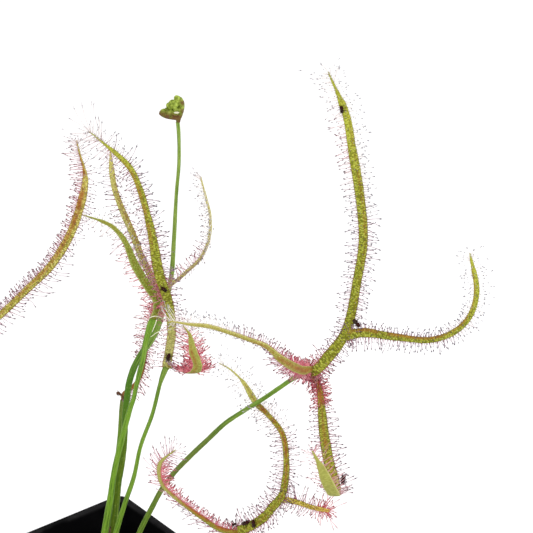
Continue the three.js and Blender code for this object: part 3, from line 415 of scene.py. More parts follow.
class SundewFlowerSettings(bpy.types.PropertyGroup):
    """Colours of the flower stalk and its head of buds."""

    stalk: colour_value("Flower stalk", "Upper part of the flower stalk", (0.23, 0.33, 0.06))
    stalk_middle: colour_value("Stalk middle", "Darkest part of the flower stalk",
                               (0.055, 0.155, 0.009))
    stalk_low: colour_value("Stalk foot", "Lower part of the flower stalk", (0.10, 0.16, 0.008))
    bud: colour_value("Bud", "Sepals of a bud", (0.115, 0.155, 0.008))
    bud_light: colour_value("Bud tip", "Yellower top of a bud", (0.36, 0.46, 0.07))
    blush: colour_value("Blush", "Brown-red marks on the sepals", (0.12, 0.055, 0.015))
    petal: colour_value("Petal", "Tip of a folded petal", (0.70, 0.68, 0.48))


class SundewPotSettings(bpy.types.PropertyGroup):
    """Sizes and colours of the pot and what fills it."""

    rim_width: length_value("Rim width", "Width of the pot over its rim band", 80.0)
    base_width: length_value("Base width", "Width of the pot's foot", 58.0)
    wall: length_value("Wall", "Thickness of the pot's wall", 1.3)
    band_height: length_value("Rim band", "Height of the band round the rim", 8.0)
    plastic: colour_value("Plastic", "The pot's black plastic", (0.0015, 0.0015, 0.0018))
    # Dust, scuffs and rubbed edges, and the painted highlight along the rim.
    wear_and_highlight: colour_value("Wear", "Dust and scuffs on the plastic", (0.03, 0.029, 0.03))
    peat: colour_value("Peat", "Damp peat", (0.045, 0.026, 0.016))
    peat_dry: colour_value("Dry peat", "Drier crumbs of peat", (0.16, 0.10, 0.065))
    sand: colour_value("Sand", "Grains of sand", (0.42, 0.36, 0.28))
    crumbs: IntProperty(name="Crumbs", description="Number of crumbs of peat", default=1500, min=0)
    grains: IntProperty(name="Grains", description="Number of grains of sand", default=420, min=0)


class SundewStageSettings(bpy.types.PropertyGroup):
    """The camera, the lights and the floor."""

    azimuth: FloatProperty(name="Azimuth", description="Camera's direction round the plant",
                           default=PLANT_TURN, subtype="ANGLE", unit="ROTATION")
    elevation: FloatProperty(name="Elevation", description="Camera's height above the horizon",
                             default=math.radians(25.4), subtype="ANGLE", unit="ROTATION")
    distance: length_value("Distance", "Camera's distance from the middle of the view", 540.0)
    lens: FloatProperty(name="Lens", description="Focal length in millimetres", default=130.0,
                        min=1.0)
    sky: FloatProperty(name="Sky light", description="Strength of the even light", default=1.0,
                       min=0.0)
    key: FloatProperty(name="Key light", description="Power of the large soft light in watts",
                       default=9.0, min=0.0)
    floor: colour_value("Floor", "The plain floor", (0.92, 0.92, 0.92))


# ---------------------------------------------------------------------------------------------
# Shader maths


class Wire:
    """A socket in a material's tree. Arithmetic on it adds the Math nodes that do the sum."""

    def __init__(self, tree, socket=None):
        self.tree = tree
        self.socket = socket

    def node(self, kind, settings=None, inputs=None, output=0):
        """A new node of this kind. Its settings are set first, and then its sockets."""
        made = self.tree.nodes.new(kind)
        for name, value in (settings or {}).items():
            if name == "stops":
                set_stops(made.color_ramp, value)
            else:
                setattr(made, name, value)
        for name, value in (inputs or {}).items():
            if isinstance(value, Wire):
                self.tree.links.new(value.socket, made.inputs[name])
            else:
                made.inputs[name].default_value = value
        return Wire(self.tree, made.outputs[output] if made.outputs else None)

    def maths(self, operation, first, second=0.0):
        return self.node("ShaderNodeMath", {"operation": operation}, {0: first, 1: second})

    def __add__(self, other):
        return self.maths("ADD", self, other)

    def __radd__(self, other):
        return self.maths("ADD", other, self)

    def __rsub__(self, other):
        return self.maths("SUBTRACT", other, self)

    def __mul__(self, other):
        return self.maths("MULTIPLY", self, other)

    def __rmul__(self, other):
        return self.maths("MULTIPLY", other, self)

    def __abs__(self):
        return self.maths("ABSOLUTE", self)

    def step(self, low, high):
        """0 below low and 1 above high, with a smooth rise between them."""
        settings = {"interpolation_type": "SMOOTHSTEP"}
        inputs = {"Value": self, "From Min": low, "From Max": high}
        return self.node("ShaderNodeMapRange", settings, inputs)

    def value(self, name):
        """A number kept at each point of the mesh."""
        return self.node("ShaderNodeAttribute", {"attribute_name": name}, output="Fac")

    def place(self, scale=(1, 1, 1)):
        """The place on the object in millimetres, stretched by scale."""
        spot = self.node("ShaderNodeTexCoord", output="Object")
        factor = [s / MM for s in scale]
        return self.node("ShaderNodeVectorMath", {"operation": "MULTIPLY"}, {0: spot, 1: factor})

    def joined(self, x, y, z):
        return self.node("ShaderNodeCombineXYZ", inputs={"X": x, "Y": y, "Z": z})

    def noise(self, where, scale, detail=3.0, roughness=0.5):
        inputs = {"Vector": where, "Scale": scale, "Detail": detail, "Roughness": roughness}
        return self.node("ShaderNodeTexNoise", inputs=inputs)

    def cells(self, where, scale, feature="F1"):
        inputs = {"Vector": where, "Scale": scale}
        return self.node("ShaderNodeTexVoronoi", {"feature": feature}, inputs, output="Distance")

    def mix(self, share, low, high):
        """The colour low where share is 0 and high where it is 1."""
        low, high = (c if isinstance(c, Wire) else (*c[:3], 1.0) for c in (low, high))
        settings = {"data_type": "RGBA", "clamp_factor": True}
        return self.node("ShaderNodeMix", settings, {0: share, 6: low, 7: high}, output=2)

    def bump(self, height, distance, strength=1.0):
        """A normal for a height from 0 to 1 that stands for distance in millimetres."""
        inputs = {"Height": height, "Distance": distance * MM, "Strength": strength}
        return self.node("ShaderNodeBump", inputs=inputs)


def set_stops(ramp, stops):
    while len(ramp.elements) > 1:
        ramp.elements.remove(ramp.elements[0])
    ramp.elements[0].position = stops[0][0]
    ramp.elements[0].color = (*stops[0][1], 1.0)
    for place, colour in stops[1:]:
        ramp.elements.new(place).color = (*colour, 1.0)


def new_material(name, recipe, specular=0.5, **fixed):
    """A material whose Principled sockets are what recipe returns, and the fixed values."""
    material = bpy.data.materials.new(name)
    material.use_nodes = True
    tree = material.node_tree
    tree.nodes.clear()
    start = Wire(tree)
    sockets = {**recipe(start), "Specular IOR Level": specular, **fixed}
    surface = start.node("ShaderNodeBsdfPrincipled", inputs=sockets)
    start.node("ShaderNodeOutputMaterial", inputs={"Surface": surface})
    return material


# ---------------------------------------------------------------------------------------------
# Materials


def times(factor, colour):
    """The colour, darker or lighter by this factor."""
    return [factor * c for c in colour]


def blade_material(tone, plant):
    """A blade's skin: fine cross ridges and grains with a painted highlight on each bump and painted
    shade between them, a broken reddish line, notched margins, painted shade over its back and a
    painted highlight along its back's margins.
    """
    colour = getattr(plant, tone)
    # light is a painted highlight on the grain's bumps; dark is painted shade between them, and the
    # fine dark speckle.
    light = [1.95 * colour[0], 2.1 * colour[1], 6 * colour[2]]
    dark = [0.33 * colour[0], 0.35 * colour[1], 0.1 * colour[2]]

    def recipe(w):
        place = w.place()
        upper = w.value("upper").step(0.35, 0.65)
        across, arc = w.value("across"), w.value("arc")
        reach, red, pale = w.value("reach"), w.value("red"), w.value("pale")
        rim = abs(across)
        patches = w.noise(place, 0.3, 3.0)
        blotches = w.noise(place, 0.8, 3.0, 0.6)
        speckle = w.noise(place, 2.2, 3.0, 0.7)
        ridges = w.cells(w.joined(0.5 * across, arc, 0.0), 3.9)
        young = [min(1.0, 1.42 * colour[0]), min(1.0, 1.42 * colour[1]), 1.9 * colour[2]]
        skin = w.mix(reach.step(0.25, 0.85), colour, young)
        skin = w.mix(pale, skin, plant.pale)
        # Painted shade: the back of a blade is darker.
        skin = w.mix(0.5 * (1 - upper), skin, times(0.45, colour))
        grain = (upper * 0.4 + 0.6) * (1 - 0.5 * reach.step(0.6, 1.0)) * (1 - 0.6 * pale)
        # Painted highlight at the middle of each bump, and painted shade where the bumps meet.
        skin = w.mix(0.9 * grain * (1 - ridges.step(0.12, 0.34)), skin, light)
        skin = w.mix(0.85 * grain * ridges.step(0.42, 0.62), skin, dark)
        skin = w.mix(0.4 * grain * (1 - speckle.step(0.34, 0.44)), skin, dark)
        skin = w.mix(0.9 * red * patches.step(0.25, 0.6), skin, plant.vein)
        skin = w.mix(0.6 * (0.1 + red) * blotches.step(0.5, 0.6), skin, times(0.6, plant.vein))
        notch = w.noise(w.joined(across, 1.8 * arc, 3.0), 1.0, 2.0).step(0.4, 0.6)
        skin = w.mix(0.55 * rim.step(0.72, 0.95) * notch * upper, skin, times(0.6, plant.vein))
        # Painted highlight: a pale line along the margins of a blade's back.
        skin = w.mix(0.5 * rim.step(0.75, 0.95) * (1 - upper) * (1 - red), skin, plant.edge)
        height = grain * (1 - ridges.step(0.0, 0.6)) + 0.3 * speckle
        return {"Base Color": skin, "Roughness": 0.42 + 0.25 * speckle,
                "Normal": w.bump(height, 0.1, 0.7)}

    return new_material(f"{tone}_blade", recipe, 0.14)


def stalk_material(name, colours, dark, pale, tan=None):
    """A bare stalk with fine dark and pale streaks along it; the dark streaks are partly real and
    partly painted shade along its sides. Its colours run evenly up it.
    """

    def recipe(w):
        run = w.joined(1.4 * w.value("round_x"), 1.4 * w.value("round_y"), 0.05 * w.value("arc"))
        streaks = w.noise(run, 2.2, 4.0, 0.6)
        flecks = w.noise(w.place(), 1.6, 3.0)
        stops = [(i / (len(colours) - 1), colour) for i, colour in enumerate(colours)]
        skin = w.node("ShaderNodeValToRGB", {"stops": stops}, {"Fac": w.value("reach")})
        if tan is not None:
            skin = w.mix(w.value("tan") * (0.75 + 0.5 * flecks), skin, tan)
        # Dark streaks: partly real streaks and partly painted shade along the stalk's sides.
        skin = w.mix(0.85 * (1 - streaks.step(0.4, 0.52)), skin, dark)
        skin = w.mix(0.5 * streaks.step(0.58, 0.7), skin, pale)
        skin = w.mix(0.3 * flecks.step(0.55, 0.75), skin, pale)
        height = 0.7 * streaks + 0.3 * flecks
        return {"Base Color": skin, "Roughness": 0.38 + 0.2 * flecks,
                "Normal": w.bump(height, 0.08, 0.6)}

    return new_material(name, recipe, 0.12)


def tentacle_material(plant):
    """Mauve at the foot and paler higher up, crimson where they crowd, faint near a blade's tip."""

    def recipe(w):
        reach, tint = w.value("reach"), w.value("tint")
        pink, faint = w.value("pink"), w.value("faint")
        foot = w.mix(tint, plant.tentacle_foot, times(0.6, plant.tentacle_foot))
        usual = w.mix(reach.step(0.05, 0.6), foot, plant.tentacle_tip)
        usual = w.mix(faint, usual, plant.tentacle_faint)
        bushy = w.mix(tint, plant.crimson, plant.rose)
        stalk = w.mix(pink, usual, bushy)
        gland = w.mix(faint + 0.4 * tint, plant.gland, plant.gland_faint)
        gland = w.mix(0.8 * pink, gland, times(0.8, plant.crimson))
        skin = w.mix(reach.step(0.78, 0.88), stalk, gland)
        return {"Base Color": skin, "Roughness": 0.4 + 0.1 * tint}

    return new_material("tentacle", recipe, 0.2)


def dew_material(plant):
    def recipe(w):
        cloud = w.noise(w.place(), 3.0, 2.0)
        clear = w.mix(cloud, plant.dew, times(0.85, plant.dew))
        return {"Base Color": w.mix(0.85 * w.value("pink"), clear, plant.rose),
                "Roughness": 0.02 + 0.03 * cloud}

    return new_material("glue_drop", recipe, IOR=1.3, **{"Transmission Weight": 1.0})


def bud_material(flower):
    def recipe(w):
        place = w.place()
        patches = w.noise(place, 0.9, 3.0)
        cells = w.noise(place, 3.2, 3.0)
        blush = w.value("blush")
        skin = w.mix(patches.step(0.35, 0.7), flower.bud, flower.bud_light)
        skin = w.mix(blush * (0.4 + patches.step(0.3, 0.6)), skin, flower.blush)
        return {"Base Color": skin, "Roughness": 0.36 + 0.2 * cells,
                "Normal": w.bump(cells, 0.1, 0.5)}

    return new_material("bud", recipe, 0.2)


def petal_material(flower):
    def recipe(w):
        fold = w.noise(w.place((1, 1, 0.3)), 2.5, 3.0)
        darker = times(0.8, flower.petal)
        return {"Base Color": w.mix(fold, flower.petal, darker),
                "Roughness": 0.5 + 0.2 * fold}

    return new_material("petal", recipe)


def fly_material():
    def recipe(w):
        sheen = w.noise(w.place(), 4.0, 3.0)
        return {"Base Color": w.mix(sheen, (0.006, 0.001, 0.001), (0.05, 0.008, 0.006)),
                "Roughness": 0.3 + 0.3 * sheen, "Normal": w.bump(sheen, 0.05, 0.5)}

    return new_material("fly_body", recipe, 0.1)


def wing_material():
    def recipe(w):
        veins = w.cells(w.place(), 2.6, "DISTANCE_TO_EDGE").step(0.02, 0.08)
        return {"Base Color": w.mix(veins, (0.012, 0.007, 0.006), (0.05, 0.03, 0.022)),
                "Roughness": 0.35 + 0.2 * veins, "Alpha": 0.85 - 0.3 * veins}

    return new_material("fly_wing", recipe, 0.1)


def thread_material():
    def recipe(w):
        cloud = w.noise(w.place(), 1.2, 3.0)
        return {"Base Color": w.mix(cloud, (0.75, 0.70, 0.48), (0.92, 0.90, 0.78)),
                "Roughness": 0.4 + 0.2 * cloud}

    return new_material("dried_glue", recipe)


def plastic_material(pot):
    """Black moulded plastic with a fine grain, a film of dust and scuffs, dust on its rubbed edges with
    a painted highlight along the rim, and lighter towards its foot.
    """

    def recipe(w):
        place = w.place()
        grain = w.noise(place, 2.2, 2.0)
        dust = w.noise(place, 0.09, 5.0, 0.65)
        scuffs = w.noise(w.place((0.6, 0.6, 0.08)), 0.8, 4.0, 0.7)
        edge_wear_and_highlight = w.value("edge")
        height = w.value("height")
        skin = w.mix(0.07 * dust.step(0.45, 0.75), pot.plastic, pot.wear_and_highlight)
        skin = w.mix(0.25 * scuffs.step(0.62, 0.72), skin, pot.wear_and_highlight)
        # Dust on rubbed edges, and a painted highlight along the rim.
        skin = w.mix(0.45 * edge_wear_and_highlight * dust.step(0.35, 0.6), skin, pot.wear_and_highlight)
        # Lighter towards the pot's foot.
        skin = w.mix(0.25 * (1 - height.step(0.0, 0.2)), skin, pot.wear_and_highlight)
        return {"Base Color": skin, "Roughness": 0.5 + 0.3 * dust + 0.1 * grain,
                "Normal": w.bump(0.7 * grain + 0.3 * scuffs, 0.05, 0.5)}

    return new_material("black_plastic", recipe, 0.025)


def soil_material(pot):
    """Damp peat; each crumb or grain has its own shade."""

    def recipe(w):
        place = w.place()
        lumps = w.noise(place, 0.6, 6.0, 0.65)
        fibres = w.noise(w.place((1, 0.25, 1)), 2.5, 4.0)
        shade = w.value("shade")
        skin = w.mix(lumps.step(0.35, 0.7), pot.peat, pot.peat_dry)
        skin = w.mix(shade, skin, pot.peat_dry)
        skin = w.mix(0.5 * fibres.step(0.6, 0.75), skin, pot.peat_dry)
        return {"Base Color": skin, "Roughness": 0.75 + 0.2 * lumps,
                "Normal": w.bump(0.6 * lumps + 0.4 * fibres, 0.5, 0.8)}

    return new_material("peat", recipe)


def grain_material(name, colour, shine):
    def recipe(w):
        mottle = w.noise(w.place(), 1.6, 4.0)
        shade = w.value("shade")
        skin = w.mix(shade, times(0.45, colour), colour)
        skin = w.mix(0.4 * mottle, skin, times(0.6, colour))
        return {"Base Color": skin, "Roughness": shine + 0.2 * mottle,
                "Normal": w.bump(mottle, 0.2, 0.7)}

    return new_material(name, recipe)


def floor_material(stage):
    def recipe(w):
        mottle = w.noise(w.place(), 0.02, 2.0)
        shade = times(0.99, stage.floor)
        return {"Base Color": w.mix(mottle, stage.floor, shade),
                "Roughness": 0.9 + 0.05 * mottle}

    return new_material("plain_floor", recipe, 0.1)


# ---------------------------------------------------------------------------------------------
# Shapes


def unit(vectors):
    return vectors / np.linalg.norm(vectors, axis=-1, keepdims=True)


def eased(t, stops, values):
    """Values that ease from each stop to the next. The last one holds on from there."""
    stops = np.array([*stops, stops[-1] + 1], float)
    values = np.array([*values, values[-1]], float)
    after = np.clip(np.searchsorted(stops, t), 1, len(stops) - 1)
    span = stops[after] - stops[after - 1]
    share = np.clip((t - stops[after - 1]) / span, 0, 1)
    share = share * share * (3 - 2 * share)
    return values[after - 1] + (values[after] - values[after - 1]) * share


def even_route(points, step):
    """Points at even steps along a smooth curve through the given ones."""
    given = np.array(points, float)
    ends = np.vstack([2 * given[0] - given[1], given, 2 * given[-1] - given[-2]])
    u = np.linspace(0, 1, 24, endpoint=False)[:, None]
    fine = []
    for a, b, c, d in zip(ends, ends[1:], ends[2:], ends[3:]):
        before, own, after = (np.linalg.norm(q - p) ** 0.5 for p, q in ((a, b), (b, c), (c, d)))
        leave = own * ((b - a) / before - (c - a) / (before + own) + (c - b) / own)
        arrive = own * ((c - b) / own - (d - b) / (own + after) + (d - c) / after)
        fine.append((2 * u**3 - 3 * u**2 + 1) * b + (u**3 - 2 * u**2 + u) * leave
                    + (3 * u**2 - 2 * u**3) * c + (u**3 - u**2) * arrive)
    fine = np.vstack([*fine, given[-1:]])
    arc = arc_lengths(fine)
    return between(np.linspace(0, arc[-1], max(4, round(arc[-1] / step) + 1)), arc, fine)


def arc_lengths(points):
    return np.concatenate([[0], np.cumsum(np.linalg.norm(np.diff(points, axis=0), axis=1))])


def between(places, stops, points):
    """Points at these places along a line whose points are at the stops."""
    return np.column_stack([np.interp(places, stops, points[:, i]) for i in range(3)])


def in_pot(points):
    """Turns points of the plant's fan into the pot's own directions and height."""
    c, s = math.cos(PLANT_TURN), math.sin(PLANT_TURN)
    turned = points @ np.array([[c, s, 0], [-s, c, 0], [0, 0, 1]])
    return turned + (0, 0, SOIL_TOP)


def ripple(rng, where, wavelength):
    """A gentle seeded wave from -1 to 1 along a line."""
    waves = [math.tau / (wavelength * k) for k in (1.0, 1.7, 2.9)]
    phases = rng.uniform(0, math.tau, len(waves))
    return sum(np.sin(where * w + p) for w, p in zip(waves, phases)) / len(waves)


class Shell:
    """Closed surfaces gathered into one mesh, in millimetres, with numbers kept at each point,
    which are 0 where none are given."""

    def __init__(self):
        self.points = []
        self.faces = []
        self.finishes = []
        self.values = {}
        self.size = 0

    def add(self, points, faces, finish=0, **values):
        """faces is a list of arrays, each with one row per face."""
        for rows in faces:
            self.faces.append(rows + self.size)
            self.finishes.append(np.full(len(rows), finish))
        self.points.append(points)
        for name, value in values.items():
            span = np.broadcast_to(value, len(points))
            self.values.setdefault(name, []).append((self.size, span))
        self.size += len(points)

    def add_tube(self, centres, radii, sides):
        """A round closed tube along a line."""
        sideways, upwards = carried_frames(centres)
        rings = ring_points(centres, sideways, upwards, radii, sides)
        self.add(rings.reshape(-1, 3), tube_faces(len(centres), sides))

    def add_copies(self, points, faces, **values):
        """Many like meshes. points has a row of points for each, and a value is given for each
        point of one, or for each mesh in a column."""
        count, each = points.shape[:2]
        first = (np.arange(count) * each)[:, None, None]
        spread = [(first + rows[None]).reshape(-1, rows.shape[1]) for rows in faces]
        values = {name: np.broadcast_to(value, (count, each)).ravel()
                  for name, value in values.items()}
        self.add(points.reshape(-1, 3), spread, **values)

    def piece(self, name, materials, slot, in_fan=True):
        """Makes the mesh object, in metres, and lets it ride on the root body. Points of the
        plant's fan are turned into the pot's directions."""
        corners = np.concatenate([rows.ravel() for rows in self.faces])
        counts = np.concatenate([np.full(len(rows), rows.shape[1]) for rows in self.faces])
        points = np.vstack(self.points)
        points = (in_pot(points) if in_fan else points) * MM
        mesh = bpy.data.meshes.new(name)
        mesh.vertices.add(len(points))
        mesh.vertices.foreach_set("co", points.astype(np.float32).ravel())
        mesh.loops.add(len(corners))
        mesh.loops.foreach_set("vertex_index", corners.astype(np.int32))
        mesh.polygons.add(len(counts))
        starts = np.concatenate([[0], np.cumsum(counts)[:-1]])
        mesh.polygons.foreach_set("loop_start", starts.astype(np.int32))
        mesh.polygons.foreach_set("material_index", np.concatenate(self.finishes).astype(np.int32))
        mesh.update(calc_edges=True)
        mesh.validate()
        mesh.shade_smooth()
        for value_name, spans in self.values.items():
            numbers = np.zeros(len(points))
            for first, span in spans:
                numbers[first:first + len(span)] = span
            keep_values(mesh, **{value_name: numbers})
        for material in materials:
            mesh.materials.append(material)
        made = new_object(name, mesh)
        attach(made, "root")
        return made


def new_object(name, data):
    """An object that shows this data, in the scene."""
    made = bpy.data.objects.new(name, data)
    bpy.context.scene.collection.objects.link(made)
    return made


def tube_faces(rings, sides, capped=True):
    """Faces of a tube of rings, wound so that they look out."""
    first = (np.arange(rings - 1) * sides)[:, None]
    here = np.arange(sides)
    turn = (here + 1) % sides
    walls = np.stack([first + here, first + turn, first + sides + turn, first + sides + here], -1)
    faces = [walls.reshape(-1, 4)]
    if capped:
        faces.append(here[::-1][None])
        faces.append((rings - 1) * sides + here[None])
    return faces


def ring_points(centres, sideways, upwards, radii, sides):
    """Rings round each centre, which turn from the first of two directions to the second."""
    angle = np.arange(sides) / sides * math.tau
    across = np.cos(angle)[None, :, None] * sideways[:, None, :]
    up = np.sin(angle)[None, :, None] * upwards[:, None, :]
    return centres[:, None, :] + radii[:, None, None] * (across + up)


def carried_frames(centres):
    """Directions sideways of a line and up from it, carried along it without twist."""
    along = unit(np.gradient(centres, axis=0))
    sideways = np.zeros_like(along)
    last = np.array([1.0, 0, 0])
    for i, way in enumerate(along):
        last = unit(last - way * (last @ way))
        sideways[i] = last
    return sideways, np.cross(along, sideways)


def add_stalk(shell, plan, rng, sides=14, step=0.8, cut=False):
    """A tapering stalk with soft ridges, standing in the soil. A cut one ends unevenly."""
    across, back = plan["foot"]
    centres = even_route([(across, back, -6), (across, back, 1), *plan["stem"]], step)
    arc = arc_lengths(centres)
    reach = arc / arc[-1]
    sideways, upwards = carried_frames(centres)
    radii = eased(reach, *zip(*plan["thick"])) / 2
    radii = radii * (1 + 0.04 * ripple(rng, arc, 3.0))
    rings = ring_points(centres, sideways, upwards, radii, sides)
    angle = np.arange(sides) / sides * math.tau
    ridge = 1 + 0.06 * np.cos(3 * angle[None, :] + 0.02 * arc[:, None])
    rings = centres[:, None] + (rings - centres[:, None]) * ridge[..., None]
    if cut:
        rings[-1] += 0.35 * np.sin(3 * angle)[:, None] * (0, 0, 1)
    shell.add(rings.reshape(-1, 3), tube_faces(len(centres), sides),
              reach=np.repeat(reach, sides), arc=np.repeat(arc, sides),
              round_x=np.tile(np.cos(angle), len(centres)),
              round_y=np.tile(np.sin(angle), len(centres)),
              tan=np.repeat(eased(reach, *zip(*plan.get("tan", [(0, 0)]))), sides))
    return centres


class Ribbon:
    """A blade's middle line at even steps, with its directions, its width and its looks."""

    def __init__(self, blade, lead, rng, step=0.3):
        blade = {**USUAL_BLADE, **blade}
        self.centre = even_route([lead, *blade["route"]], step)
        arc = arc_lengths(self.centre)
        root = np.array(blade["route"][0], float)
        start = arc[np.argmin(np.linalg.norm(self.centre - root, axis=1))]
        self.arc = arc - start
        self.length = self.arc[-1]
        self.reach = np.clip(self.arc / self.length, 0, 1)
        self.along = unit(np.gradient(self.centre, axis=0))
        turns = np.array(blade.get("side", blade.get("face")), float)
        stops = np.linspace(0, 1, len(turns))
        guide = between(self.reach, stops, turns)
        across = guide if "side" in blade else np.cross(self.along, guide)
        across = across - self.along * np.sum(across * self.along, axis=1, keepdims=True)
        self.across = unit(across)
        self.face = np.cross(self.across, self.along)
        width = eased(self.reach, *zip(*blade["width"]))
        grown = eased(self.arc, (-1.5, 1.5), (0.3, 1))
        self.width = width * grown * (1 + 0.035 * ripple(rng, arc, 2.6))
        self.red = eased(self.reach, *zip(*blade["red"]))
        self.pale = eased(self.reach, *zip(*blade["pale"]))
        for name in ("bush", "pink", "long", "bare", "rib", "faint", "ruff", "tip", "tone"):
            setattr(self, name, blade[name])

    def at(self, arc):
        """The ribbon's centre, directions and width at these lengths along it."""
        lines = (self.centre, self.along, self.across, self.face)
        centre, along, across, face = (between(arc, self.arc, line) for line in lines)
        return centre, unit(along), unit(across), unit(face), np.interp(arc, self.arc, self.width)

    def sided(self, stops, arc, share):
        """A value given for both sides, or for the left and the right, at a share across the blade
        from -1 to 1."""
        places, *sides = zip(*stops)
        left, right = (np.interp(arc / self.length, places, sides[i]) for i in (0, -1))
        return left + (right - left) * (0.5 + 0.5 * share)

    def feet(self, share, per_length, rng):
        """Lengths along the blade for tentacles' feet, closer together where it is bushier."""
        fine = np.linspace(0, self.length, 200)
        steps = np.diff(fine) * self.sided(self.bush, fine, share)[1:] * per_length
        total = np.concatenate([[0], np.cumsum(steps)])
        count = int(total[-1])
        return np.interp(np.arange(count) + rng.uniform(0.2, 0.8, count), total, fine)


def blade_section(sides):
    """A blade's outline across it: the share of its half width, its rise as a share of its
    thickness, and 1 on the sticky face or 0 on the back. The face has a shallow channel."""
    angle = np.arange(sides) / sides * math.tau
    share = np.cos(angle)
    back = np.sin(angle)
    edge = np.abs(share)
    hull = np.sqrt(np.clip(1 - edge**3, 0, 1))
    rise = np.where(back > 0, -0.55 * hull, 0.45 * hull * (0.6 + 0.45 * share**2))
    upper = np.where(np.abs(back) < 1e-6, 0.5, np.where(back > 0, 0.0, 1.0))
    return share, rise, upper


def add_blade(shell, ribbon, thickness, blisters, finish, sides=20):
    """A blade's skin, with a blister at the foot of each tentacle on its sticky face."""
    share, rise, upper = blade_section(sides)
    tip = eased(ribbon.reach, (0, 0.8, 1), (1, 0.85, 0.5))
    thick = thickness * tip * eased(ribbon.arc, (-1.5, 1), (0.7, 1))
    half = ribbon.width / 2
    swell = np.zeros((len(half), sides))
    arc, place = ribbon.arc[:, None], share[None, :] * half[:, None]
    for blister_arc, blister_place, height in blisters:
        near = np.abs(ribbon.arc - blister_arc) < 1.2
        away = (arc[near] - blister_arc) ** 2 + (place[near] - blister_place) ** 2
        swell[near] = np.maximum(swell[near], height * np.exp(-away / 0.11))
    lift = rise[None, :] * thick[:, None] + swell * (upper[None, :] > 0.4)
    points = (ribbon.centre[:, None] + place[..., None] * ribbon.across[:, None]
              + lift[..., None] * ribbon.face[:, None])
    count = len(half)
    spread = 0.25 + 0.5 * ribbon.red[:, None] ** 4
    line = ribbon.red[:, None] * np.exp(-((share - ribbon.rib) / spread) ** 2)
    shell.add(points.reshape(-1, 3), tube_faces(count, sides), finish,
              reach=np.repeat(ribbon.reach, sides), arc=np.repeat(ribbon.arc, sides),
              across=np.tile(share, count), upper=np.tile(upper, count), red=line.ravel(),
              pale=np.repeat(ribbon.pale, sides))


def unit_ball(rings=3, sides=6):
    """The points of a unit ball in its own directions, and its faces."""
    tilt = (np.arange(rings) + 1) / (rings + 1) * math.pi
    turn = np.arange(sides) / sides * math.tau
    body = np.stack([np.sin(tilt)[:, None] * np.cos(turn), np.sin(tilt)[:, None] * np.sin(turn),
                     -np.cos(tilt)[:, None] * np.ones(sides)], -1).reshape(-1, 3)
    points = np.vstack([body, [[0, 0, -1], [0, 0, 1]]])
    here = np.arange(sides)
    nxt = (here + 1) % sides
    south = np.stack([np.full(sides, rings * sides), nxt, here], -1)
    top = (rings - 1) * sides
    north = np.stack([np.full(sides, rings * sides + 1), top + here, top + nxt], -1)
    return points, [tube_faces(rings, sides, capped=False)[0], south, north]


def add_drops(shell, centres, along, radii, pink, stretch=1.2):
    """Drops of glue, each a little longer along its tentacle than it is wide."""
    points, faces = unit_ball()
    sideways = unit(np.cross(along, along[:, [1, 2, 0]] + 0.01))
    upwards = np.cross(along, sideways)
    basis = np.stack([sideways, upwards, stretch * along], 1)
    placed = centres[:, None] + radii[:, None, None] * np.einsum("pk,nkd->npd", points, basis)
    shell.add_copies(placed, faces, pink=pink[:, None])


# A tentacle's rings as shares of its length, their widths as shares of its own, its sides, and how
# far it bends.
TENTACLE_RINGS = np.array([0.0, 0.22, 0.6, 0.9, 1.0])
TENTACLE_SWELL = np.array([1.7, 1.1, 0.8, 1.5, 0.6])
TENTACLE_SIDES = 4
TENTACLE_CURVE = 0.32


def add_tentacles(stalks, drops, tentacles, width, drop_width):
    """Thin curved stalks that end in a gland, and the drop of glue round each gland."""
    root, way, bend, length, pink, tint, faint, size = tentacles
    sideways = unit(np.cross(way, way[:, [1, 2, 0]] + 0.01))
    upwards = np.cross(way, sideways)
    f = TENTACLE_RINGS[None, :, None]
    line = (root[:, None] + way[:, None] * length[:, None, None] * f
            + bend[:, None] * length[:, None, None] * TENTACLE_CURVE * f**2)
    angle = np.arange(TENTACLE_SIDES) / TENTACLE_SIDES * math.tau
    ring = (np.cos(angle)[None, :, None] * sideways[:, None]
            + np.sin(angle)[None, :, None] * upwards[:, None])
    thick = 0.5 * width * (size * (1 + 0.35 * pink - 0.3 * faint))[:, None] * TENTACLE_SWELL[None]
    points = line[:, :, None] + thick[..., None, None] * ring[:, None]
    faces = tube_faces(len(TENTACLE_RINGS), TENTACLE_SIDES)
    stalks.add_copies(points.reshape(len(root), -1, 3), faces,
                      reach=np.repeat(TENTACLE_RINGS, TENTACLE_SIDES), tint=tint[:, None],
                      pink=pink[:, None], faint=faint[:, None])
    end = unit(way + 2 * TENTACLE_CURVE * bend)
    add_drops(drops, line[:, -2], end, 0.5 * drop_width * size * (1 - 0.25 * pink), pink)


# Ranks of tentacles: the share across the blade, how many stand in a usual spacing, the length
# as a share of the longest, and how steeply they rise from the sticky face.
RANKS = [
    (1.0, 1.2, 1.0, 0.1), (-1.0, 1.2, 1.0, 0.1),
    (0.92, 1.5, 0.62, 0.35), (-0.92, 1.5, 0.62, 0.35),
    (0.7, 0.7, 0.34, 1.0), (-0.7, 0.7, 0.34, 1.0),
    (0.3, 0.35, 0.18, 2.0), (-0.3, 0.35, 0.18, 2.0),
]


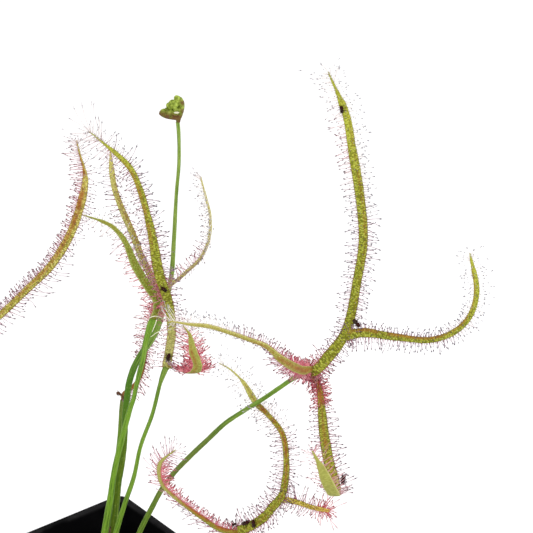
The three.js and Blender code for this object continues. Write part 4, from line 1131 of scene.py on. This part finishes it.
def margin_and_face(ribbon, rng, plant):
    """Where a blade's tentacles stand: long ones on each margin, shorter ones inside them, and
    stubs on the sticky face. Also the blisters that mark the feet of those on the face."""
    spacing = plant.tentacle_spacing / MM
    longest = plant.tentacle_length / MM
    kept, blisters = [tip_fan(ribbon, rng), tuft(ribbon, rng, spacing, longest)], []
    for share, density, part, rise in RANKS:
        arc = ribbon.feet(share, density / spacing, rng)
        for side, start, end in ribbon.bare:
            if side * share > 0:
                arc = arc[(arc < start * ribbon.length) | (arc > end * ribbon.length)]
        count = len(arc)
        t = arc / ribbon.length
        pink = ribbon.sided(ribbon.pink, arc, share)
        faint = np.clip((t - ribbon.faint) / 0.3, 0, 1) * (1 - pink)
        places = np.clip(share + rng.uniform(-0.12, 0.12, count), -1, 1)
        centre, along, across, face, wide = ribbon.at(arc)
        root = centre + across * (places * wide / 2 * 0.93)[:, None]
        root = root + face * (0.15 * (1 - places**2))[:, None]
        lean = rng.normal(0.05, 0.14, count) + 0.7 * np.clip((t - 0.9) / 0.1, 0, 1)
        lean = lean + pink * rng.normal(0, 0.35, count)
        way = unit(across * (places * (1 + 0.2 * rng.normal(0, 1, count) * pink))[:, None]
                   + along * lean[:, None]
                   + face * (rise + rng.uniform(-0.1, 0.35, count))[:, None])
        bend = unit(face * rng.uniform(0.2, 1.2, count)[:, None]
                    + along * rng.normal(0.1, 0.7, count)[:, None]
                    + across * rng.normal(0, 0.3, count)[:, None])
        near_tip = np.clip((t - 0.8) / 0.2, 0, 1) * (abs(share) > 0.5)
        length = longest * part * (1 + 0.5 * near_tip) * rng.uniform(0.7, 1.25, count)
        length = length * ribbon.sided(ribbon.long, arc, share) + 0.2 * pink * (part < 0.4)
        size = rng.uniform(0.6, 1.15, count) * (0.7 if part < 0.5 else 1.0) * (1 - 0.2 * near_tip)
        kept.append((root, way, bend, length, pink, rng.uniform(0, 1, count), faint, size))
        if abs(share) < 0.95:
            heights = rng.uniform(0.05, 0.11, count)
            blisters.extend(zip(arc, places * wide / 2, heights))
    joined = [np.concatenate(columns) for columns in zip(*kept)]
    return joined, blisters


def tuft(ribbon, rng, spacing, longest):
    """Extra crimson tentacles that stand out all round a blade where they crowd together."""
    arc = ribbon.feet(0.0, 2.6 / spacing, rng)
    arc = arc[ribbon.sided(ribbon.pink, arc, 0.0) > rng.uniform(0.7, 1.1, len(arc))]
    count = len(arc)
    centre, along, across, face, wide = ribbon.at(arc)
    turn = rng.uniform(-0.6, math.pi + 0.6, count)
    turn = np.where(arc < ribbon.ruff * ribbon.length, 2 * turn, turn)[:, None]
    out = across * np.cos(turn) + face * np.sin(turn)
    way = unit(out + along * rng.normal(0.1, 0.4, (count, 1)))
    bend = unit(along * rng.normal(0.2, 1, (count, 1)) + rng.normal(0, 0.6, (count, 3)))
    root = centre + across * np.cos(turn) * wide[:, None] * 0.42
    length = longest * rng.uniform(0.35, 0.85, count) * ribbon.sided(ribbon.long, arc, 0.0)
    tint = rng.uniform(0, 0.8, count)
    size = rng.uniform(0.7, 1.1, count)
    return root, way, bend, length, np.ones(count), tint, np.zeros(count), size


def tip_fan(ribbon, rng):
    """The longest tentacles, which fan out round a blade's tip."""
    count, longest = ribbon.tip
    arc = ribbon.length - rng.uniform(0, 0.5 * longest, count)
    centre, along, across, face, wide = ribbon.at(arc)
    spread = np.linspace(-1.0, 1.0, count)[:, None] + rng.normal(0, 0.1, (count, 1))
    way = unit(along + across * spread + face * rng.uniform(0, 0.5, (count, 1)))
    bend = unit(face + across * rng.normal(0, 0.8, (count, 1)) - 0.2 * along)
    length = longest * rng.uniform(0.55, 1.1, count)
    root = centre + across * spread * wide[:, None] / 2
    pink = ribbon.sided(ribbon.pink, arc, 0.0)
    tint = rng.uniform(0, 1, count)
    size = rng.uniform(0.6, 0.9, count)
    return root, way, bend, length, pink, tint, 0.85 * (1 - pink), size


def lead_in(blade, stem, ribbons, before=2.5):
    """A point on the stalk or blade that this one branches from, a little before the fork."""
    root = np.array(blade["route"][0], float)
    line = ribbons[blade["joins"]].centre if "joins" in blade else stem
    nearest = int(np.argmin(np.linalg.norm(line - root, axis=1)))
    arc = arc_lengths(line)
    start = int(np.argmin(np.abs(arc - max(0.0, arc[nearest] - before))))
    return line[start]


def ball_points(radii, rng, roughness, rings=5, sides=8):
    """A lumpy closed ball, for crumbs, grains and bodies."""
    points, faces = unit_ball(rings, sides)
    lumps = 1 + roughness * rng.normal(0, 1, (len(points), 1))
    return points * lumps * np.array(radii), faces


def turned(rng):
    """A random turn, as a matrix."""
    w, x, y, z = unit(rng.normal(0, 1, 4))
    return np.array([
        [1 - 2 * (y * y + z * z), 2 * (x * y - z * w), 2 * (x * z + y * w)],
        [2 * (x * y + z * w), 1 - 2 * (x * x + z * z), 2 * (y * z - x * w)],
        [2 * (x * z - y * w), 2 * (y * z + x * w), 1 - 2 * (x * x + y * y)],
    ])


def square_ring(half, corner, height, arc_steps=10, edge_steps=8):
    """A square outline with round corners, at one height, with points along its sides too."""
    quarter = np.arange(arc_steps + 1) / arc_steps * math.pi / 2
    reach = half - corner
    bend = np.column_stack([reach + corner * np.cos(quarter), reach + corner * np.sin(quarter)])
    side = np.linspace(bend[-1], [-reach, half], edge_steps + 1)[1:-1]
    flank = np.vstack([bend, side])
    turns = [(math.cos(i * math.pi / 2), math.sin(i * math.pi / 2)) for i in range(4)]
    ring = np.vstack([flank @ np.array([[c, s], [-s, c]]) for c, s in turns])
    return np.column_stack([ring, np.full(len(ring), height)])


def melt_together(made, voxel, smooth):
    """Melts the closed parts of an object into one skin, and smooths where they meet."""
    remesh = made.modifiers.new("melt", "REMESH")
    remesh.mode = "VOXEL"
    remesh.voxel_size = voxel * MM
    soften = made.modifiers.new("soften", "SMOOTH")
    soften.factor = 0.5
    soften.iterations = smooth
    apply_modifiers(made)
    made.data.shade_smooth()


def apply_modifiers(made):
    graph = bpy.context.evaluated_depsgraph_get()
    mesh = bpy.data.meshes.new_from_object(made.evaluated_get(graph))
    made.modifiers.clear()
    made.data = mesh


def own_rng(name):
    """Random draws that belong to one piece, so that they never change with its neighbours."""
    return np.random.default_rng([SEED, *name.encode()])


def keep_values(mesh, **values):
    for name, numbers in values.items():
        kept = mesh.attributes.new(name, "FLOAT", "POINT")
        kept.data.foreach_set("value", np.asarray(numbers, np.float32))


def mesh_points(mesh):
    points = np.empty(len(mesh.vertices) * 3, np.float32)
    mesh.vertices.foreach_get("co", points)
    return points.reshape(-1, 3)


# ---------------------------------------------------------------------------------------------
# Operators: one for each piece or group of like pieces


TONES = ("olive", "lime", "green", "khaki", "amber", "rust", "brown")


def grow_leaf(name, plant, finishes, tentacle, dew):
    """One leaf: its stalk and blades as one skin, its tentacles, and their drops."""
    leaf = LEAVES[name]
    rng = own_rng(name)
    skin, stalks, drops = Shell(), Shell(), Shell()
    stem = add_stalk(skin, leaf, rng)
    ribbons = []
    for blade in leaf["blades"]:
        ribbon = Ribbon(blade, lead_in(blade, stem, ribbons), rng)
        ribbons.append(ribbon)
        tentacles, blisters = margin_and_face(ribbon, rng, plant)
        finish = 1 + TONES.index(ribbon.tone)
        add_blade(skin, ribbon, plant.blade_thickness / MM, blisters, finish)
        if "knob" in blade:
            points, faces = ball_points(np.full(3, blade["knob"]), rng, 0.06, 7, 10)
            skin.add(points + ribbon.centre[-1], faces, finish, reach=1.0)
        add_tentacles(stalks, drops, tentacles, plant.tentacle_width / MM, plant.drop_width / MM)
    body = skin.piece(f"{name}_skin", finishes, "leaf")
    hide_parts(name)
    stalks.piece(f"{name}_tentacles", [tentacle], "leaf")
    drops.piece(f"{name}_dew", [dew], "leaf")
    return ribbons


class SUNDEW_OT_leaves(bpy.types.Operator):
    """Grow the leaves with their tentacles, and the flies that are stuck to them"""

    bl_idname = "sundew.leaves"
    bl_label = "Leaves"

    def execute(self, context):
        plant = context.scene.sundew_plant
        stalk = stalk_material("leaf_stalk", [plant.stalk] * 2, plant.stalk_dark,
                               plant.stalk_pale, plant.stalk_tan)
        finishes = [stalk, *(blade_material(tone, plant) for tone in TONES)]
        tentacle, dew = tentacle_material(plant), dew_material(plant)
        ribbons = {name: grow_leaf(name, plant, finishes, tentacle, dew) for name in LEAVES}
        catch_flies(ribbons)
        draw_threads()
        return {"FINISHED"}


def catch_flies(ribbons):
    """Small dark flies lying on the blades and among their tentacles."""
    rng = own_rng("flies")
    bodies = Shell()
    for leaf, blade, share, place, length, heading in FLIES:
        ribbon = ribbons[leaf][blade]
        centre, along, across, face, wide = (
            part[0] for part in ribbon.at(np.array([share * ribbon.length])))
        spot = centre + across * place * wide / 2 + face * 0.55
        turn = math.radians(heading)
        nose = math.cos(turn) * along + math.sin(turn) * across
        add_fly(bodies, spot, np.stack([nose, np.cross(face, nose), face]), length, rng)
    bodies.piece("trapped_flies", [fly_material(), wing_material()], "dead_leaf")


def add_fly(shell, spot, basis, length, rng):
    """A fly's three body parts, six short crooked legs and two narrow folded wings. The basis is
    the way its nose points, its side and its back."""
    parts = [((0.4, 0, 0), (0.16, 0.19, 0.17)), ((0.15, 0, 0.04), (0.26, 0.25, 0.25)),
             ((-0.25, 0, 0), (0.36, 0.24, 0.22))]
    for middle, radii in parts:
        points, faces = ball_points(radii, rng, 0.06)
        shell.add(spot + (points + middle) @ basis * length, faces)
    for side in (-1, 1):
        for reach in (0.3, 0.08, -0.15):
            knee = np.array([reach, 0.26 * side, 0.1])
            foot = np.array([1.5 * reach, 0.42 * side, -0.15]) + rng.normal(0, 0.06, 3)
            line = even_route([(0.3 * reach + 0.1, 0.08 * side, 0), knee, foot], 0.12)
            radii = np.linspace(0.045, 0.02, len(line)) * length
            shell.add_tube(spot + line @ basis * length, radii, 5)
        points, faces = ball_points((0.34, 0.12, 0.012), rng, 0.0, 5, 10)
        spread = rng.uniform(0.05, 0.15) * side
        c, s = math.cos(spread), math.sin(spread)
        wing = (points + (-0.36, 0, 0)) @ np.array([[c, -s, 0.1], [s, c, 0.05 * side], [0, 0, 1]])
        shell.add(spot + (wing + (0.1, 0.08 * side, 0.26)) @ basis * length, faces, 1)


def draw_threads():
    """Fine threads of dried glue."""
    threads = Shell()
    for line in THREADS:
        centres = even_route(line, 0.25)
        threads.add_tube(centres, np.linspace(0.13, 0.07, len(centres)), 6)
    threads.piece("glue_threads", [thread_material()], "leaf")


class SUNDEW_OT_flower_stalk(bpy.types.Operator):
    """Grow the flower stalk and its coiled head of buds"""

    bl_idname = "sundew.flower_stalk"
    bl_label = "Flower stalk"

    def execute(self, context):
        plant, flower = context.scene.sundew_plant, context.scene.sundew_flower
        rng = own_rng("flower_stalk")
        stem = Shell()
        add_stalk(stem, FLOWER_STALK, rng, sides=18)
        colours = [flower.stalk_low] * 3 + [flower.stalk_middle] + [flower.stalk] * 3
        skin = stalk_material("flower_stalk", colours, plant.stalk_dark, plant.stalk_pale)
        bare = stem.piece("flower_stalk_stem", [skin], "stalk")
        head = grow_head(rng, flower)
        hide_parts("flower_stalk")
        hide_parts("flower_stalk")
        return {"FINISHED"}


def grow_head(rng, flower):
    """The coiled arms and their buds, melted into one fleshy head, with a folded petal showing."""
    top = np.add(FLOWER_STALK["stem"][-1], FLOWER_STALK["head"])
    head = Shell()
    for arm in FLOWER_STALK["arms"]:
        centres = even_route(arm, 0.2) + top
        head.add_tube(centres, np.linspace(0.6, 0.9, len(centres)), 14)
    for *place, radius in FLOWER_STALK["buds"]:
        points, faces = unit_ball(14, 20)
        angle = np.arctan2(points[:, 1], points[:, 0])
        ribs = 1 + 0.07 * np.abs(np.cos(2.5 * angle + rng.uniform(0, 3))) * (1 - points[:, 2] ** 2)
        lean = turned(rng) * 0.35 + np.eye(3)
        shaped = points * ribs[:, None] * (1, 1, 1.05) @ unit(lean)
        head.add(shaped * radius * 0.95 + top + place, faces)
    made = head.piece("flower_head", [bud_material(flower)], "stalk")
    melt_together(made, 0.11, 2)
    local = mesh_points(made.data) / MM - in_pot(top[None])[0]
    right = local @ np.array([math.cos(PLANT_TURN), math.sin(PLANT_TURN), 0])
    low = 1 - np.clip((local[:, 2] - 0.9 + 0.28 * right) / 1.5, 0, 1)
    waves = 0.5 + 0.5 * np.sin(2.6 * local[:, 2] + 1.2 * np.sin(2.0 * local[:, 0]))
    blush = low + 0.9 * np.clip((right - 0.2) / 0.9, 0, 1) * waves
    keep_values(made.data, blush=np.clip(blush, 0, 1))
    petal = Shell()
    points, faces = ball_points((0.75, 0.4, 0.3), rng, 0.1, 8, 12)
    petal.add(points + top + FLOWER_STALK["petal"], faces)
    petal.piece("folded_petal", [petal_material(flower)], "stalk")
    return made


class SUNDEW_OT_old_stub(bpy.types.Operator):
    """Make the stub of an old leaf stalk"""

    bl_idname = "sundew.old_stub"
    bl_label = "Old leaf stub"

    def execute(self, context):
        plant = context.scene.sundew_plant
        stub = Shell()
        add_stalk(stub, OLD_STUB, own_rng("old_stub"), step=0.5, cut=True)
        colours = [times(1.4, plant.brown), (0.16, 0.10, 0.05)]
        skin = stalk_material("withered_stalk", colours, (0.03, 0.015, 0.01), (0.30, 0.20, 0.11))
        made = stub.piece("old_leaf_stub_skin", [skin], "dead_leaf")
        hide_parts("old_leaf_stub")
        return {"FINISHED"}


class SUNDEW_OT_pot(bpy.types.Operator):
    """Mould the square nursery pot"""

    bl_idname = "sundew.pot"
    bl_label = "Pot"

    def execute(self, context):
        pot = context.scene.sundew_pot
        sizes = PotSizes(pot)
        profile = sizes.profile()
        rings = [square_ring(half, sizes.corner(half), height) for half, height, _ in profile]
        points = np.vstack(rings)
        edge_wear_and_highlight = np.repeat([edge for _, _, edge in profile], len(rings[0]))
        shell = Shell()
        shell.add(points, tube_faces(len(rings), len(rings[0])), edge=edge_wear_and_highlight,
                  height=points[:, 2] / POT_HEIGHT)
        made = shell.piece("nursery_pot", [plastic_material(pot)], "pot", in_fan=False)
        cut_drains(made, sizes)
        made.data.set_sharp_from_angle(angle=math.radians(40))
        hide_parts("pot")
        return {"FINISHED"}


class PotSizes:
    """The pot's outline in millimetres, worked out from its few driving sizes."""

    FLOOR = 1.6
    BAND_STEP = 1.2
    RIM_LIP = 2.4
    RIM_EDGE = 0.6
    CORNER = 3.5
    DRAIN_RADIUS = 4.0
    DRAIN_OFFSET = 18.0
    DRAIN_CUT = (-3.0, 4.0)

    def __init__(self, pot):
        self.rim = pot.rim_width / MM / 2
        self.base = pot.base_width / MM / 2
        self.wall = pot.wall / MM
        self.band_foot = POT_HEIGHT - pot.band_height / MM

    def outer(self, height):
        top = self.rim - self.BAND_STEP
        return self.base + (top - self.base) * height / POT_HEIGHT

    def inner(self, height):
        return self.outer(height) - self.wall

    def corner(self, half):
        return self.CORNER * half / self.rim

    def profile(self):
        """Half width, height and edge share of each ring, up the outside and down the inside. The share
        marks dust on rubbed edges, and along the rim it is a painted highlight.
        """
        lip, top = self.RIM_EDGE, POT_HEIGHT
        outside = [(self.outer(z), z, 0.0) for z in np.linspace(0.5, self.band_foot - 0.05, 12)]
        inside = [(self.inner(z), z, 0.0) for z in np.linspace(self.band_foot, self.FLOOR, 12)]
        return [
            (self.base - 0.5, 0.0, 0.3), (self.base - 0.15, 0.15, 0.6), *outside,
            (self.rim - 0.1, self.band_foot + 0.15, 0.5), (self.rim, self.band_foot + lip, 0.3),
            (self.rim, (self.band_foot + top) / 2, 0.0), (self.rim, top - lip, 0.3),
            # The rim's edges: painted highlight, strongest on its rounded outer edge.
            (self.rim - 0.18, top - 0.18, 1.6), (self.rim - lip, top, 0.8),
            (self.rim - self.RIM_LIP + 0.35, top, 0.8), (self.rim - self.RIM_LIP, top - 0.3, 1.0),
            (self.rim - self.RIM_LIP - 0.12, top - 1.2, 0.0), *inside,
        ]


def cut_drains(made, sizes):
    """Cuts the four drain holes through the pot's floor."""
    drains = Shell()
    for x, y in ((1, 1), (-1, 1), (-1, -1), (1, -1)):
        place = [x * sizes.DRAIN_OFFSET, y * sizes.DRAIN_OFFSET]
        line = np.array([[*place, z] for z in sizes.DRAIN_CUT])
        drains.add_tube(line, np.full(2, sizes.DRAIN_RADIUS), 32)
    cutter = drains.piece("drain_cutter", [], "pot", in_fan=False)
    cut = made.modifiers.new("drains", "BOOLEAN")
    cut.operation = "DIFFERENCE"
    cut.solver = "EXACT"
    cut.object = cutter
    apply_modifiers(made)
    bpy.data.objects.remove(cutter)


class SUNDEW_OT_soil(bpy.types.Operator):
    """Fill the pot with peat, and strew crumbs and grains over it"""

    bl_idname = "sundew.soil"
    bl_label = "Soil"

    CLEARANCE = 0.3
    EDGE_DROP = 1.5
    CRUMB_SIZES = (0.35, 1.25)
    GRAIN_SIZES = (0.22, 0.55)

    def execute(self, context):
        pot = context.scene.sundew_pot
        sizes = PotSizes(pot)
        rng = own_rng("soil")
        edge = SOIL_TOP - self.EDGE_DROP
        shoulder = sizes.inner(edge) - self.CLEARANCE
        bottom = sizes.FLOOR + self.CLEARANCE
        rings = [square_ring(sizes.inner(z) - self.CLEARANCE, sizes.corner(sizes.inner(z)), z)
                 for z in np.linspace(bottom, edge, 8)]
        for share in np.linspace(0.985, 0.02, 46):
            ring = square_ring(shoulder * share, sizes.corner(shoulder) * share, SOIL_TOP)
            past = max(0.0, share - SOIL_EDGE) / (1 - SOIL_EDGE)
            ring[:, 2] = ground(ring) - (self.EDGE_DROP - 0.4) * past
            rings.append(ring)
        bulk = Shell()
        points = np.vstack(rings)
        bulk.add(points, tube_faces(len(rings), len(rings[0])), shade=0.0)
        peat = soil_material(pot)
        made = bulk.piece("soil_bulk", [peat], "soil", in_fan=False)
        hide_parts("soil")
        strew("peat_crumbs", peat, pot.crumbs, shoulder, rng, self.CRUMB_SIZES, 0.16)
        sand = grain_material("sand", pot.sand, 0.45)
        strew("sand_grains", sand, pot.grains, shoulder, rng, self.GRAIN_SIZES, 0.1)
        return {"FINISHED"}


# Past this share of its half width, the soil's top drops towards the pot's wall.
SOIL_EDGE = 0.93
# How far crumbs and grains lie lower there.
EDGE_SINK = 0.9


def ground(points):
    """The height of the soil's uneven top at these places."""
    x, y = points[:, 0], points[:, 1]
    swell = 0.5 * (np.sin(x * 0.35 + 1) * np.cos(y * 0.31) - 1)
    lumps = 0.22 * np.sin(1.3 * x + 2 * np.sin(0.7 * y)) * np.cos(1.1 * y + 1.5 * np.sin(0.9 * x))
    crumbs = 0.16 * np.sin(3.1 * x + 1.7 * y) * np.sin(2.7 * y - 1.9 * x + 0.6)
    return SOIL_TOP + swell + lumps + crumbs


def strew(name, material, count, half, rng, sizes, roughness):
    """Lumps lying half sunk in the soil, all over its top."""
    lumps = Shell()
    margin = 0.96 * half
    for _ in range(count):
        x, y = rng.uniform(-margin, margin, 2)
        size = sizes[0] + (sizes[1] - sizes[0]) * rng.uniform(0, 1) ** 2.5
        points, faces = ball_points(rng.uniform(0.55, 1.2, 3), rng, roughness, 3, 6)
        at_edge = max(abs(x), abs(y)) > SOIL_EDGE * half
        height = ground(np.array([[x, y]]))[0] - EDGE_SINK * at_edge
        spot = np.array([x, y, height + 0.25 * size])
        lumps.add(points @ turned(rng) * size + spot, faces, shade=rng.uniform(0, 1) ** 2)
    made = lumps.piece(name, [material], "soil", in_fan=False)
    made.data.set_sharp_from_angle(angle=math.radians(35))


class SUNDEW_OT_stage(bpy.types.Operator):
    """Set up the plain floor, the soft studio light and the camera"""

    bl_idname = "sundew.stage"
    bl_label = "Stage"

    # The middle of the view, in millimetres.
    TARGET = (41.8, -33.9, 189.8)
    # The floor and the lights' places and widths, in metres.
    FLOOR_REACH = 8.0
    FLOOR_DROP = 0.0002
    KEY_PLACE = (-0.55, -0.75, 1.15)
    KEY_WIDTH = 0.9
    FILL_PLACE = (0.9, -0.5, 0.7)
    FILL_WIDTH = 1.2
    FILL_SHARE = 0.35

    def execute(self, context):
        scene = context.scene
        stage = scene.sundew_stage
        floor = bpy.data.meshes.new("floor")
        r = self.FLOOR_REACH
        floor.from_pydata([(-r, -r, 0), (r, -r, 0), (r, r, 0), (-r, r, 0)], [], [(0, 1, 2, 3)])
        floor.materials.append(floor_material(stage))
        ground_plane = new_object("floor", floor)
        ground_plane.location.z = -self.FLOOR_DROP
        world = bpy.data.worlds.new("even_sky")
        world.use_nodes = True
        sky = world.node_tree.nodes["Background"]
        sky.inputs["Color"].default_value = (1, 1, 1, 1)
        sky.inputs["Strength"].default_value = stage.sky
        scene.world = world
        scene.view_settings.view_transform = "Standard"
        target = Vector(self.TARGET) * MM
        add_softbox("key", self.KEY_PLACE, target, self.KEY_WIDTH, stage.key)
        add_softbox("fill", self.FILL_PLACE, target, self.FILL_WIDTH, self.FILL_SHARE * stage.key)
        camera = bpy.data.cameras.new("camera")
        camera.sensor_width = 36.0
        camera.lens = stage.lens
        view = new_object("camera", camera)
        a, e = stage.azimuth, stage.elevation
        back = Vector((math.sin(a) * math.cos(e), -math.cos(a) * math.cos(e), math.sin(e)))
        view.location = target + back * stage.distance
        view.rotation_euler = back.to_track_quat("Z", "Y").to_euler()
        scene.camera = view
        return {"FINISHED"}


def add_softbox(name, place, target, size, power):
    lamp = bpy.data.lights.new(name, "AREA")
    lamp.size = size
    lamp.energy = power
    made = new_object(name, lamp)
    made.location = place
    made.rotation_euler = (Vector(place) - target).to_track_quat("Z", "Y").to_euler()


class SUNDEW_PT_panel(bpy.types.Panel):
    """Lists the pieces of the sundew and their sizes and colours"""

    bl_idname = "SUNDEW_PT_panel"
    bl_label = "Forked sundew"
    bl_space_type = "VIEW_3D"
    bl_region_type = "UI"
    bl_category = "Sundew"

    def draw(self, context):
        for settings_name, group in SETTINGS.items():
            box = self.layout.box()
            box.label(text=settings_name.replace("_", " ").capitalize())
            for name in group.__annotations__:
                box.prop(getattr(context.scene, settings_name), name)
        for operator in OPERATORS:
            self.layout.operator(operator.bl_idname)


SETTINGS = {
    "sundew_plant": SundewPlantSettings,
    "sundew_flower": SundewFlowerSettings,
    "sundew_pot": SundewPotSettings,
    "sundew_stage": SundewStageSettings,
}
OPERATORS = (
    SUNDEW_OT_stage,
    SUNDEW_OT_pot,
    SUNDEW_OT_soil,
    SUNDEW_OT_leaves,
    SUNDEW_OT_flower_stalk,
    SUNDEW_OT_old_stub,
)


def register():
    for group in (*SETTINGS.values(), *OPERATORS, SUNDEW_PT_panel):
        bpy.utils.register_class(group)
    for name, group in SETTINGS.items():
        setattr(bpy.types.Scene, name, PointerProperty(type=group))


def unregister():
    for name in SETTINGS:
        delattr(bpy.types.Scene, name)
    for group in (SUNDEW_PT_panel, *reversed(OPERATORS), *SETTINGS.values()):
        bpy.utils.unregister_class(group)


def main():
    register()
    for operator in OPERATORS:
        module, name = operator.bl_idname.split(".")
        getattr(getattr(bpy.ops, module), name)()


if __name__ == "__main__":
    main()
